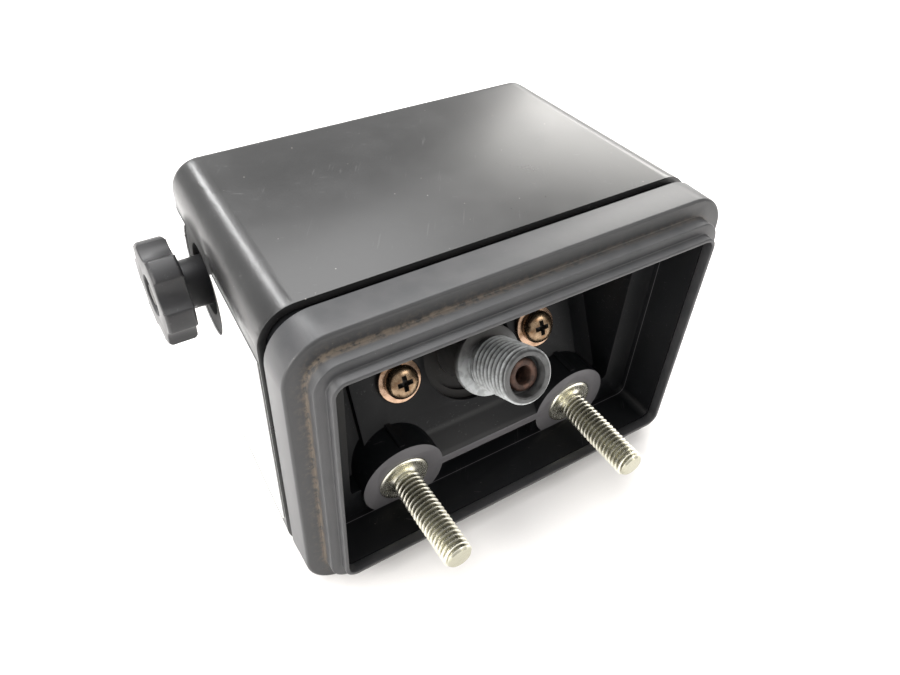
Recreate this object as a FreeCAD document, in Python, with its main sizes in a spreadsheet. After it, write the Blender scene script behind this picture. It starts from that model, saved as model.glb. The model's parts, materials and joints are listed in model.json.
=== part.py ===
import FreeCAD, Part
import math
import os

import Sketcher

# Pressure switch with an adjusting knob, built as the separate pieces of the real one.
# Row frame: +X along the switch, +Y from the mounting face into the switch, +Z up.
# The origin is midway between the two stud axes, in the plane of the gasket's lip.
# Pieces of the mechanism are drawn upright in their own frame (x, u, w), whose u axis runs
# inward along the pressure port, and are then placed on the tilted floor of the base.

os.makedirs("parts", exist_ok=True)
doc = FreeCAD.newDocument("pressure_switch")
Vector = FreeCAD.Vector

SIZES = {
    # mounting opening and studs
    "opening_width": 77.0, "opening_height": 50.4, "opening_radius": 2.0,
    "stud_spacing": 42.0, "stud_rise": 6.0, "stud_radius": 3.0, "stud_reach": 10.3,
    "stud_flange_radius": 5.5, "stud_flange_thickness": 1.2, "stud_flange_proud": 0.3,
    "stud_chamfer": 0.8,
    "stud_root_radius": 3.5, "stud_root_depth": 6.4,
    # gasket boot: lip, middle band and outer ring, each further out and further back
    "lip_rim": 0.75, "lip_depth": 1.9, "band_rim": 2.8, "band_depth": 2.8,
    "ring_rim": 6.4, "ring_depth": 7.05, "lip_inner_depth": 2.2, "gasket_fillet": 0.6,
    # base housing
    "collar_wall": 1.0, "flange_thickness": 4.15, "shelf_step": 0.1,
    "tub_half_width": 32.3, "tub_wall": 2.0, "tub_top_margin": 1.5, "tub_low": 1.0,
    "tilt": 26.0, "floor_y": 21.2, "floor_z": 16.5, "floor_thickness": 5.0,
    "panel_half_width": 26.6, "panel_rise": 2.0, "panel_low": 4.7,
    "boss_radius": 9.0, "boss_face": 10.6, "boss_rib": 0.6, "boss_rib_rise": 0.35,
    "boss_back": 19.0, "rib_front": 11.4, "ledge_underside": -1.0, "recess_back": 16.0,
    "block_back": 22.0, "block_low": -8.0,
    "post_x": 35.0, "post_z": 0.0, "post_radius": 3.2, "post_bore_radius": 1.6,
    "post_bore_depth": 9.0,
    # cover
    "cover_side_rim": 6.3, "cover_top_rim": 5.7, "cover_gap": 2.55, "cover_depth": 51.6,
    "cover_wall": 1.4, "cover_back_wall": 2.0, "cover_radius": 7.0, "cover_fit": 0.2,
    "side_taper": 2.6, "top_taper": 1.0, "back_fillet": 3.0, "knob_hole_radius": 7.0,
    "cover_screw_radius": 1.5, "cover_screw_head": 2.9, "cover_screw_head_height": 1.8,
    "cover_screw_length": 8.0, "cover_screw_clearance": 0.25,
    # cable grommet in the right side
    "grommet_y": 42.0, "grommet_z": 5.0, "grommet_radius": 6.5, "grommet_lip": 1.5,
    "grommet_lip_thickness": 1.2, "grommet_membrane": 0.8,
    # nameplate on the left side
    "plate_thickness": 0.3, "plate_margin": 3.0, "plate_front_margin": 0.8,
    "plate_length": 49.0, "plate_notch_radius": 11.0,
    # knob, spindle and cam
    "spindle_y": 48.1, "spindle_z": 33.0, "spindle_radius": 3.0, "knob_radius": 9.9,
    "knob_thickness": 5.4, "knob_standoff": 4.6, "hub_radius": 4.75, "hub_length": 7.0,
    "knob_scallop_radius": 4.4, "knob_scallop_depth": 1.6, "knob_edge": 0.5,
    "knob_recess_radius": 4.0, "knob_recess_depth": 1.6, "knob_web": 1.2, "knob_screw_radius": 1.25,
    "knob_screw_head": 2.6, "knob_screw_head_height": 1.3, "knob_screw_length": 5.0,
    "cam_low": 5.0, "cam_high": 7.0, "cam_thickness": 5.0, "cam_travel": 270.0,
    "bush_radius": 4.5, "bush_flange_radius": 6.0, "bush_flange": 1.0, "bush_inner_length": 2.0,
    "clip_radius": 5.0, "clip_thickness": 0.8, "clip_groove": 0.6, "spindle_tail": 1.0,
    # frame bracket on the back of the tilted floor
    "frame_half_width": 27.0, "frame_sheet": 1.5, "frame_low": -13.0, "frame_high": 33.0,
    "cheek_low_reach": 28.0, "cheek_reach": 41.0, "cheek_straight": 8.0, "cheek_shoulder_reach": 30.0,
    "cheek_shoulder": 30.0, "cheek_high_reach": 26.0,
    # port connector and its tube
    "port_reach": 21.24, "thread_radius": 5.555, "thread_length": 12.96, "thread_chamfer": 0.8,
    "undercut_radius": 4.9, "undercut_length": 1.6, "port_flange_radius": 7.35,
    "port_flange_thickness": 1.6, "shank_radius": 6.0, "port_counterbore_radius": 3.97,
    "port_counterbore_depth": 3.2, "port_bore_radius": 3.25, "spigot_radius": 4.0,
    "tube_radius": 3.2, "tube_bore_radius": 1.7, "tube_set_back": 1.4, "tube_end": 7.6,
    # bellows unit
    "hub_hole_radius": 10.4, "housing_hub_radius": 8.6, "housing_front": 2.5,
    "housing_flange_radius": 11.5, "housing_flange": 1.5, "cup_radius": 10.5, "cup_wall": 1.0,
    "cup_end": 22.0, "cap_thickness": 1.5, "bellows_outer": 8.2, "bellows_inner": 6.2,
    "bellows_wall": 0.4, "bellows_pitch": 1.8, "bellows_folds": 5.0,
    "seal_rise": 1.0, "pin_nose": 1.0, "pin_overhang": 0.6,
    "pin_radius": 1.5, "pin_disc_radius": 6.0, "pin_disc_thickness": 1.0, "pin_tip": 25.0,
    # levers and their pins
    "lever_pivot_u": 27.2, "lever_pivot_w": -9.0, "lever_pin_radius": 1.5, "lever_knuckle": 3.2,
    "lever_half_width": 8.0, "lever_sheet": 2.0, "lever_top": 9.0, "lever_arm_low": 4.0,
    "lever_arm_reach": 24.3, "setting_pivot_u": 34.5, "setting_pivot_w": 12.0,
    "setting_half_width": 5.0, "seat_sheet": 2.0, "seat_u": 36.2, "seat_low": -2.0,
    "follower_gap": 0.15, "follower_radius": 2.0,
    # range spring
    "spring_radius": 3.6, "spring_wire": 0.6, "spring_turns": 5.0, "spring_w": 3.6,
    # snap switch
    "case_left": 18.9, "case_front": 29.4, "case_depth": 8.0, "case_low": -5.0,
    "case_high": 9.5, "terminal_screw_depth": 2.4, "button_travel": 1.0, "button_x": 22.1,
    "button_w": 6.5, "button_radius": 1.2,
    "button_length": 3.6, "terminal_side": 4.0, "terminal_sheet": 0.8, "terminal_pitch": 4.6,
    "terminal_screw_radius": 1.7, "terminal_screw_height": 1.5, "case_screw_radius": 1.1,
    "case_screw_head": 2.0, "case_screw_height": 1.3, "case_screw_depth": 3.4,
    # frame screws seen in the opening, and the earth screw
    "screw_x": 16.5, "screw_radius": 1.75, "screw_head": 3.5, "screw_head_height": 2.4,
    "screw_end": 9.0, "screw_cross": 0.55, "screw_cross_reach": 2.0, "screw_cross_depth": 1.4,
    "washer_radius": 4.65, "washer_thickness": 0.9,
    "earth_u": 15.0, "earth_w": 2.0,
    # shares of a whole: a screw head's flat top, the case screws' depth, the setting lever's arm
    "crown_share": 0.75, "case_screw_share": 0.625, "arm_share": 0.7,
    # fits
    "running": 0.05, "contact": 0.05, "clearance": 0.3,
}

sheet = doc.addObject("Spreadsheet::Sheet", "Sizes")
for row, (alias, number) in enumerate(SIZES.items(), start=1):
    sheet.set(f"A{row}", alias)
    sheet.set(f"B{row}", str(number))
    sheet.setAlias(f"B{row}", alias)
doc.recompute()


class Size:
    """A length kept as a number and as the sheet formula that gives it."""

    def __init__(self, value, formula):
        self.value = float(value)
        self.formula = formula

    def __add__(self, other):
        other = size(other)
        return Size(self.value + other.value, f"({self.formula} + {other.formula})")

    def __sub__(self, other):
        other = size(other)
        return Size(self.value - other.value, f"({self.formula} - {other.formula})")

    def __mul__(self, other):
        other = size(other)
        return Size(self.value * other.value, f"({self.formula} * {other.formula})")

    def __truediv__(self, other):
        other = size(other)
        return Size(self.value / other.value, f"({self.formula} / {other.formula})")

    def __neg__(self):
        return Size(-self.value, f"(-1 * {self.formula})")

    def __radd__(self, other):
        return size(other) + self

    def __rsub__(self, other):
        return size(other) - self

    def __rmul__(self, other):
        return size(other) * self


def size(value):
    """Any number, alias or Size as a Size."""
    if isinstance(value, Size):
        return value
    if isinstance(value, str):
        return Size(sheet.get(value), f"Sizes.{value}")
    return Size(value, repr(float(value)))


def cosine(angle):
    return Size(math.cos(math.radians(angle.value)), f"cos({angle.formula})")


def sine(angle):
    return Size(math.sin(math.radians(angle.value)), f"sin({angle.formula})")


S = {alias: size(alias) for alias in SIZES}

# Counts.
KNOB_LOBES = 6
CAM_POINTS = 72
BELLOWS_FOLDS = int(S["bellows_folds"].value)
TERMINALS = 3

# Places that several pieces share.
HALF_OPENING = S["opening_width"] / 2
OPENING_LOW = -S["stud_rise"]
OPENING_HIGH = S["opening_height"] - S["stud_rise"]
BAND_FRONT = S["lip_depth"]
RING_FRONT = BAND_FRONT + S["band_depth"]
GASKET_BACK = RING_FRONT + S["ring_depth"]
COLLAR_FRONT = S["lip_inner_depth"] + S["contact"]
FLANGE_FRONT = GASKET_BACK + S["contact"]
FLANGE_BACK = FLANGE_FRONT + S["flange_thickness"]
SHELF = FLANGE_FRONT - S["shelf_step"]
COVER_FRONT = GASKET_BACK + S["cover_gap"]
COVER_BACK = COVER_FRONT + S["cover_depth"]
COVER_INNER_BACK = COVER_BACK - S["cover_back_wall"]
TUB_TOP = OPENING_HIGH - S["tub_top_margin"]
BLOCK_TOP = S["tub_low"]
FRAME_FRONT = S["floor_thickness"] + S["contact"]
FRAME_BACK = FRAME_FRONT + S["frame_sheet"]
SPINDLE_DY = S["spindle_y"] - S["floor_y"]
SPINDLE_DZ = S["spindle_z"] - S["floor_z"]
SPINDLE_U = SPINDLE_DY * cosine(S["tilt"]) - SPINDLE_DZ * sine(S["tilt"])
SPINDLE_W = SPINDLE_DY * sine(S["tilt"]) + SPINDLE_DZ * cosine(S["tilt"])
LEVER_FRONT = S["pin_tip"] + S["contact"]
LEVER_BACK = LEVER_FRONT + S["lever_sheet"]
FOLLOWER_FRONT = SPINDLE_U + S["cam_low"] + S["follower_gap"]
PLATE_INSIDE = S["frame_half_width"] - S["frame_sheet"]


def cover_side(y):
    """Half width of the cover's outer side at depth y."""
    taper = S["side_taper"] / S["cover_depth"]
    return HALF_OPENING + S["cover_side_rim"] - taper * (y - COVER_FRONT)


def on_floor(u, z):
    """Depth y, at height z, of the plane that lies u behind the floor panel's face."""
    return S["floor_y"] + (u + (z - S["floor_z"]) * sine(S["tilt"])) / cosine(S["tilt"])


def body(label, tilted=False, x=0.0, u=0.0, w=0.0):
    """A new body; a tilted one stands on the floor's frame, its own Y along the port."""
    item = doc.addObject("PartDesign::Body", label)
    item.Label = label
    if tilted:
        place(item, size(x), *from_floor(u, w), S["tilt"])
    elif any(size(v).value for v in (x, u, w)):
        place(item, size(x), size(u), size(w), size(0.0))
    return item


def from_floor(u, w):
    """Row depth and height of a point given in the frame of the tilted floor."""
    u, w = size(u), size(w)
    depth = S["floor_y"] + u * cosine(S["tilt"]) + w * sine(S["tilt"])
    height = S["floor_z"] - u * sine(S["tilt"]) + w * cosine(S["tilt"])
    return depth, height


def place(item, x, y, z, tilt, axis=(1, 0, 0)):
    """Binds a piece's placement: its position, and its turn backwards about an axis."""
    turn = FreeCAD.Rotation(Vector(*axis), -tilt.value)
    item.Placement = FreeCAD.Placement(Vector(x.value, y.value, z.value), turn)
    item.setExpression("Placement.Base.x", x.formula)
    item.setExpression("Placement.Base.y", y.formula)
    item.setExpression("Placement.Base.z", z.formula)
    item.setExpression("Placement.Rotation.Angle", (-tilt).formula)


def plane_role(profile):
    return profile.AttachmentSupport[0][0].Role


def sketch(item, role, offset=0.0):
    """A sketch on one of the body's planes, moved along the axis that the plane faces."""
    profile = item.newObject("Sketcher::SketchObject", f"{item.Label}_sketch")
    origin_plane = next(f for f in item.Origin.OriginFeatures if f.Role == role)
    profile.AttachmentSupport = [(origin_plane, "")]
    profile.MapMode = "FlatFace"
    offset = -size(offset) if role == "XZ_Plane" else size(offset)
    profile.AttachmentOffset = FreeCAD.Placement(Vector(0, 0, offset.value), FreeCAD.Rotation())
    profile.setExpression("AttachmentOffset.Base.z", offset.formula)
    return profile


def dimension(profile, kind, *reference, length):
    """A sketch dimension bound to its formula."""
    length = size(length)
    index = profile.addConstraint(Sketcher.Constraint(kind, *reference, length.value))
    profile.setExpression(f"Constraints[{index}]", length.formula)


def locate(profile, geometry, end, point):
    """Dimensions a point of the sketch from its origin."""
    dimension(profile, "DistanceX", -1, 1, geometry, end, length=point[0])
    dimension(profile, "DistanceY", -1, 1, geometry, end, length=point[1])


def polygon(profile, points):
    """A closed outline of straight sides, each corner dimensioned."""
    corners = [(size(a), size(b)) for a, b in points]
    first = profile.GeometryCount
    count = len(corners)
    for start, end in zip(corners, corners[1:] + corners[:1]):
        side = Part.LineSegment(Vector(start[0].value, start[1].value, 0),
                                Vector(end[0].value, end[1].value, 0))
        profile.addGeometry(side, False)
    for step in range(count):
        joined = (first + step, 2, first + (step + 1) % count, 1)
        profile.addConstraint(Sketcher.Constraint("Coincident", *joined))
    for step, corner in enumerate(corners):
        locate(profile, first + step, 1, corner)


def box(left, right, low, high):
    """The corners of an upright rectangle."""
    return [(left, low), (right, low), (right, high), (left, high)]


def circle(profile, centre, radius):
    """A circle with its centre and radius dimensioned."""
    centre = (size(centre[0]), size(centre[1]))
    radius = size(radius)
    middle = Vector(centre[0].value, centre[1].value, 0)
    geometry = profile.addGeometry(Part.Circle(middle, Vector(0, 0, 1), radius.value), False)
    locate(profile, geometry, 3, centre)
    dimension(profile, "Radius", geometry, length=radius)


def rounded(profile, half_width, low, high, radius):
    """A rectangle about the sketch's vertical axis with four tangent corner arcs."""
    half_width, low, high, radius = (size(v) for v in (half_width, low, high, radius))
    right, left = half_width.value, -half_width.value
    bottom, top, r = low.value, high.value, radius.value
    sides = [((left + r, bottom), (right - r, bottom)), ((right, bottom + r), (right, top - r)),
             ((right - r, top), (left + r, top)), ((left, top - r), (left, bottom + r))]
    centres = [(right - r, bottom + r), (right - r, top - r), (left + r, top - r),
               (left + r, bottom + r)]
    first = profile.GeometryCount
    for quarter, (side, centre) in enumerate(zip(sides, centres)):
        profile.addGeometry(Part.LineSegment(Vector(*side[0], 0), Vector(*side[1], 0)), False)
        corner = Part.Circle(Vector(*centre, 0), Vector(0, 0, 1), r)
        turn = (quarter - 1) * math.pi / 2
        profile.addGeometry(Part.ArcOfCircle(corner, turn, turn + math.pi / 2), False)
    for quarter in range(4):
        line = first + 2 * quarter
        arc = line + 1
        following = first + (2 * quarter + 2) % 8
        profile.addConstraint(Sketcher.Constraint("Tangent", line, 2, arc, 1))
        profile.addConstraint(Sketcher.Constraint("Tangent", arc, 2, following, 1))
        direction = "Horizontal" if quarter % 2 == 0 else "Vertical"
        profile.addConstraint(Sketcher.Constraint(direction, line))
    dimension(profile, "Radius", first + 1, length=radius)
    for arc in (3, 5, 7):
        profile.addConstraint(Sketcher.Constraint("Equal", first + 1, first + arc))
    dimension(profile, "DistanceY", -1, 1, first, 1, length=low)
    dimension(profile, "DistanceX", -1, 1, first + 2, 1, length=half_width)
    dimension(profile, "DistanceY", -1, 1, first + 4, 1, length=high)
    dimension(profile, "DistanceX", -1, 1, first + 6, 1, length=-half_width)


def pad(item, profile, length, centred=False):
    """Extrudes a sketch along the positive axis, or both ways when it is centred."""
    feature = item.newObject("PartDesign::Pad", f"{item.Label}_pad")
    feature.Profile = profile
    feature.SideType = "Symmetric" if centred else "One side"
    feature.Reversed = not centred and plane_role(profile) == "XZ_Plane"
    feature.setExpression("Length", size(length).formula)
    doc.recompute()
    return feature


def pocket(item, profile, length, centred=False):
    """Cuts a sketch along the positive axis, or both ways when it is centred."""
    before = item.Shape.Volume
    feature = item.newObject("PartDesign::Pocket", f"{item.Label}_pocket")
    feature.Profile = profile
    feature.SideType = "Symmetric" if centred else "One side"
    feature.Reversed = not centred and plane_role(profile) != "XZ_Plane"
    feature.setExpression("Length", size(length).formula)
    doc.recompute()
    if item.Shape.Volume > before - 0.001:
        raise ValueError(f"{feature.Label} cuts nothing")
    return feature


def revolve(item, profile, axis):
    """Turns a sketch a full turn about its horizontal or vertical axis."""
    feature = item.newObject("PartDesign::Revolution", f"{item.Label}_turned")
    feature.Profile = profile
    feature.ReferenceAxis = (profile, [axis])
    feature.Angle = 360.0
    doc.recompute()
    return feature


def turned(item, outline):
    """Turns (radius, depth) corners about the body's own Y axis."""
    profile = sketch(item, "XY_Plane")
    polygon(profile, outline)
    revolve(item, profile, "V_Axis")
    return item


def turned_along_x(item, outline):
    """Turns (x, radius) corners about the body's own X axis."""
    profile = sketch(item, "XZ_Plane")
    polygon(profile, outline)
    revolve(item, profile, "H_Axis")
    return item


def fillet(item, radius, wanted):
    """Rounds the edges of the body's tip that the test picks."""
    base = item.Tip
    names = [f"Edge{n}" for n, edge in enumerate(base.Shape.Edges, start=1) if wanted(edge)]
    feature = item.newObject("PartDesign::Fillet", f"{item.Label}_fillet")
    feature.Base = (base, names)
    feature.setExpression("Radius", size(radius).formula)
    doc.recompute()
    return feature


def mirrored_pair(label, item):
    """One node holding a piece and its mirror image across the row's X = 0 plane."""
    image = doc.addObject("Part::Mirroring", f"{label}_image")
    image.Source = item
    image.Base = Vector(0, 0, 0)
    image.Normal = Vector(1, 0, 0)
    pair = doc.addObject("Part::Compound", label)
    pair.Label = label
    pair.Links = [item, image]
    doc.recompute()
    return pair


def row_of(label, items):
    """One node holding several equal pieces."""
    group = doc.addObject("Part::Compound", label)
    group.Label = label
    group.Links = items
    doc.recompute()
    return group


def cross(item, centre, depth_start):
    """A cross recess sunk from the head's face, along Y."""
    x, z = centre
    for half_x, half_z in (("screw_cross", "screw_cross_reach"), ("screw_cross_reach", "screw_cross")):
        profile = sketch(item, "XZ_Plane", depth_start)
        a, b = S[half_x], S[half_z]
        polygon(profile, box(x - a, x + a, z - b, z + b))
        pocket(item, profile, S["screw_cross_depth"])


# ---------------------------------------------------------------- base housing

def make_base_housing():
    item = body("base_housing")

    collar = sketch(item, "XZ_Plane", COLLAR_FRONT)
    rim = S["collar_wall"]
    rounded(collar, HALF_OPENING + rim, OPENING_LOW - rim, OPENING_HIGH + rim,
            S["opening_radius"] + rim)
    pad(item, collar, FLANGE_BACK - COLLAR_FRONT)

    flange = sketch(item, "XZ_Plane", FLANGE_FRONT)
    gap = S["cover_wall"] + S["cover_fit"]
    side = HALF_OPENING + S["cover_side_rim"] - gap
    rounded(flange, side, OPENING_LOW - S["cover_top_rim"] + gap,
            OPENING_HIGH + S["cover_top_rim"] - gap, S["cover_radius"] - gap)
    pad(item, flange, S["flange_thickness"])

    opening = sketch(item, "XZ_Plane", COLLAR_FRONT)
    rounded(opening, HALF_OPENING, OPENING_LOW, OPENING_HIGH, S["opening_radius"])
    pocket(item, opening, SHELF - COLLAR_FRONT)

    tub = sketch(item, "YZ_Plane")
    top = TUB_TOP + S["tub_wall"]
    polygon(tub, [(FLANGE_FRONT, S["block_low"]), (S["block_back"], S["block_low"]),
                  (S["block_back"], BLOCK_TOP), (on_floor(S["floor_thickness"], BLOCK_TOP), BLOCK_TOP),
                  (on_floor(S["floor_thickness"], top), top), (FLANGE_FRONT, top)])
    pad(item, tub, 2 * (S["tub_half_width"] + S["tub_wall"]), centred=True)

    cavity = sketch(item, "YZ_Plane")
    front = SHELF - S["clearance"]
    polygon(cavity, [(front, S["tub_low"]), (on_floor(S["panel_rise"], S["tub_low"]), S["tub_low"]),
                     (on_floor(S["panel_rise"], TUB_TOP), TUB_TOP), (front, TUB_TOP)])
    pocket(item, cavity, 2 * S["tub_half_width"], centred=True)

    panel = sketch(item, "YZ_Plane")
    back = S["panel_rise"] + S["clearance"]
    polygon(panel, [(on_floor(0.0, S["tub_low"]), S["tub_low"]), (on_floor(back, S["tub_low"]), S["tub_low"]),
                    (on_floor(back, TUB_TOP), TUB_TOP), (on_floor(0.0, TUB_TOP), TUB_TOP)])
    pad(item, panel, 2 * S["panel_half_width"], centred=True)

    ledge = sketch(item, "YZ_Plane")
    ledge_back = on_floor(S["clearance"], S["panel_low"])
    polygon(ledge, [(S["boss_face"], S["ledge_underside"]), (S["boss_face"], S["tub_low"]),
                    (on_floor(0.0, S["panel_low"]), S["panel_low"]), (ledge_back, S["panel_low"]),
                    (ledge_back, S["ledge_underside"])])
    pad(item, ledge, S["stud_spacing"] - S["boss_radius"], centred=True)

    recess = sketch(item, "XZ_Plane", S["boss_face"])
    half = (S["stud_spacing"] - 2 * S["boss_radius"]) / 2
    polygon(recess, box(-half, half, OPENING_LOW, S["ledge_underside"]))
    pocket(item, recess, S["recess_back"] - S["boss_face"])

    for side in (-1, 1):
        x = side * S["stud_spacing"] / 2
        boss = sketch(item, "XZ_Plane", S["boss_face"])
        circle(boss, (x, 0.0), S["boss_radius"])
        pad(item, boss, S["boss_back"] - S["boss_face"])

        rib = sketch(item, "XZ_Plane", S["rib_front"])
        rib_low = S["boss_radius"] - S["clearance"]
        polygon(rib, box(x - S["boss_rib"], x + S["boss_rib"], rib_low,
                         S["boss_radius"] + S["boss_rib_rise"]))
        pad(item, rib, S["boss_back"] - S["rib_front"])

        post = sketch(item, "XZ_Plane", FLANGE_FRONT)
        circle(post, (side * S["post_x"], S["post_z"]), S["post_radius"])
        pad(item, post, COVER_INNER_BACK - S["contact"] - FLANGE_FRONT)

    outside = sketch(item, "XZ_Plane")
    far = S["cover_side_rim"] * 2
    rounded(outside, HALF_OPENING + rim, OPENING_LOW - rim, OPENING_HIGH + rim,
            S["opening_radius"] + rim)
    rounded(outside, HALF_OPENING + far, OPENING_LOW - far, OPENING_HIGH + far, S["cover_radius"])
    pocket(item, outside, FLANGE_FRONT)

    for side in (-1, 1):
        x = side * S["stud_spacing"] / 2
        seat = sketch(item, "XZ_Plane", S["boss_face"] - S["clearance"])
        circle(seat, (x, 0.0), S["stud_flange_radius"] + S["running"])
        seat_back = S["boss_face"] - S["stud_flange_proud"] + S["stud_flange_thickness"] + S["contact"]
        pocket(item, seat, seat_back - S["boss_face"] + S["clearance"])

        socket = sketch(item, "XZ_Plane", S["boss_face"])
        circle(socket, (x, 0.0), S["stud_root_radius"] + S["running"])
        pocket(item, socket, S["stud_flange_thickness"] + S["stud_root_depth"] + S["contact"])

        bore = sketch(item, "XZ_Plane", COVER_INNER_BACK - S["post_bore_depth"])
        circle(bore, (side * S["post_x"], S["post_z"]), S["post_bore_radius"])
        pocket(item, bore, S["post_bore_depth"])

    holes = sketch(item, "XZ_Plane")
    holes.AttachmentOffset = FreeCAD.Placement(
        Vector(0, S["floor_z"].value, -S["floor_y"].value),
        FreeCAD.Rotation(Vector(1, 0, 0), -S["tilt"].value))
    holes.setExpression("AttachmentOffset.Base.y", "Sizes.floor_z")
    holes.setExpression("AttachmentOffset.Base.z", "-Sizes.floor_y")
    holes.setExpression("AttachmentOffset.Rotation.Angle", "-Sizes.tilt")
    circle(holes, (0.0, 0.0), S["hub_hole_radius"])
    for side in (-1, 1):
        circle(holes, (side * S["screw_x"], 0.0), S["screw_radius"] + S["clearance"])
    pocket(item, holes, 3 * S["floor_thickness"], centred=True)
    return item


def make_gasket():
    item = body("gasket")
    front = size(0.0)
    for rim, depth in (("lip_rim", "lip_depth"), ("band_rim", "band_depth"), ("ring_rim", "ring_depth")):
        step = sketch(item, "XZ_Plane", front)
        out = S[rim]
        rounded(step, HALF_OPENING + out, OPENING_LOW - out, OPENING_HIGH + out,
                S["opening_radius"] + out)
        pad(item, step, S[depth])
        front = front + S[depth]

    throat = sketch(item, "XZ_Plane")
    rounded(throat, HALF_OPENING, OPENING_LOW, OPENING_HIGH, S["opening_radius"])
    pocket(item, throat, GASKET_BACK)

    sleeve = sketch(item, "XZ_Plane", S["lip_inner_depth"])
    out = S["collar_wall"] + S["contact"]
    rounded(sleeve, HALF_OPENING + out, OPENING_LOW - out, OPENING_HIGH + out,
            S["opening_radius"] + out)
    pocket(item, sleeve, GASKET_BACK - S["lip_inner_depth"])

    reach = (HALF_OPENING + S["ring_rim"]).value

    def outer_front(edge):
        bounds = edge.BoundBox
        on_ring = abs(bounds.YMin - RING_FRONT.value) < 0.01 and bounds.YLength < 0.01
        outer = max(abs(bounds.XMin), abs(bounds.XMax)) > reach - S["opening_radius"].value * 3
        beyond = bounds.ZMax > (OPENING_HIGH + S["ring_rim"]).value - 0.01
        below = bounds.ZMin < (OPENING_LOW - S["ring_rim"]).value + 0.01
        sideways = max(abs(bounds.XMin), abs(bounds.XMax)) > reach - 0.01
        return on_ring and (beyond or below or (outer and sideways))

    fillet(item, "gasket_fillet", outer_front)
    return item


def make_mounting_studs():
    item = body("stud", x=S["stud_spacing"] / 2)
    front = S["boss_face"] - S["stud_flange_proud"]
    tip = -S["stud_reach"]
    root = front + S["stud_flange_thickness"] + S["stud_root_depth"]
    turned(item, [(0.0, tip), (S["stud_radius"] - S["stud_chamfer"], tip),
                  (S["stud_radius"], tip + S["stud_chamfer"]), (S["stud_radius"], front),
                  (S["stud_flange_radius"], front),
                  (S["stud_flange_radius"], front + S["stud_flange_thickness"]),
                  (S["stud_root_radius"], front + S["stud_flange_thickness"]),
                  (S["stud_root_radius"], root), (0.0, root)])
    return mirrored_pair("mounting_studs", item)


# ---------------------------------------------------------------- cover and its trim

def loft(item, kind, profiles):
    feature = item.newObject(f"PartDesign::{kind}Loft", f"{item.Label}_loft")
    feature.Profile = profiles[0]
    feature.Sections = profiles[1:]
    feature.Ruled = True
    doc.recompute()
    return feature


def cover_section(item, y, wall):
    """A rounded section of the tapering cover at depth y, moved inward by a wall."""
    profile = sketch(item, "XZ_Plane", y)
    fraction = (y - COVER_FRONT) / S["cover_depth"]
    rim = S["cover_top_rim"] - fraction * S["top_taper"] - wall
    rounded(profile, cover_side(y) - wall, OPENING_LOW - rim, OPENING_HIGH + rim,
            S["cover_radius"] - fraction * S["top_taper"] - wall)
    return profile


def make_cover():
    item = body("cover")
    loft(item, "Additive", [cover_section(item, COVER_FRONT, size(0.0)),
                            cover_section(item, COVER_BACK, size(0.0))])
    loft(item, "Subtractive", [cover_section(item, COVER_FRONT, S["cover_wall"]),
                               cover_section(item, COVER_INNER_BACK, S["cover_wall"])])
    back = COVER_BACK.value
    fillet(item, "back_fillet",
           lambda e: abs(e.BoundBox.YMin - back) < 0.01 and e.BoundBox.YLength < 0.01)

    reach = HALF_OPENING + S["cover_side_rim"]
    knob_hole = sketch(item, "YZ_Plane", -reach)
    circle(knob_hole, (S["spindle_y"], S["spindle_z"]), S["knob_hole_radius"])
    pocket(item, knob_hole, S["cover_side_rim"] * 2)

    cable_hole = sketch(item, "YZ_Plane", reach - S["cover_side_rim"] * 2)
    circle(cable_hole, (S["grommet_y"], S["grommet_z"]), S["grommet_radius"])
    pocket(item, cable_hole, S["cover_side_rim"] * 2)

    screw_holes = sketch(item, "XZ_Plane", COVER_INNER_BACK - S["cover_back_wall"])
    for side in (-1, 1):
        circle(screw_holes, (side * S["post_x"], S["post_z"]),
               S["cover_screw_radius"] + S["cover_screw_clearance"])
    pocket(item, screw_holes, 3 * S["cover_back_wall"])
    return item


def side_lean():
    """The angle by which the cover's sides lean inward."""
    slope = S["side_taper"] / S["cover_depth"]
    return Size(math.degrees(math.atan(slope.value)), f"atan({slope.formula})")


def make_label_plate():
    taper = side_lean()
    item = body("label_plate")
    place(item, -(cover_side(COVER_FRONT) + S["contact"]), COVER_FRONT, size(0.0), taper, (0, 0, 1))

    outline = sketch(item, "YZ_Plane", -S["plate_thickness"])
    front = S["plate_front_margin"]
    round_side = S["cover_top_rim"] - S["cover_radius"] - S["plate_margin"]
    polygon(outline, box(front, front + S["plate_length"], OPENING_LOW - round_side,
                         OPENING_HIGH + round_side))
    pad(item, outline, S["plate_thickness"])

    notch = sketch(item, "YZ_Plane", -2 * S["plate_thickness"])
    along = (S["spindle_y"] - COVER_FRONT) / cosine(taper)
    circle(notch, (along, S["spindle_z"]), S["plate_notch_radius"])
    pocket(item, notch, 4 * S["plate_thickness"])
    return item


def make_cover_screws():
    item = body("cover_screw", x=S["post_x"], w=S["post_z"])
    seat = COVER_BACK + S["contact"]
    head = seat + S["cover_screw_head_height"]
    crown = S["cover_screw_head"] * S["crown_share"]
    turned(item, [(0.0, seat - S["cover_screw_length"]),
                  (S["cover_screw_radius"], seat - S["cover_screw_length"]),
                  (S["cover_screw_radius"], seat), (S["cover_screw_head"], seat),
                  (S["cover_screw_head"], seat + S["cover_screw_head_height"] / 2),
                  (crown, head), (0.0, head)])
    cross(item, (size(0.0), size(0.0)), head - S["screw_cross_depth"])
    return mirrored_pair("cover_screws", item)


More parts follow.
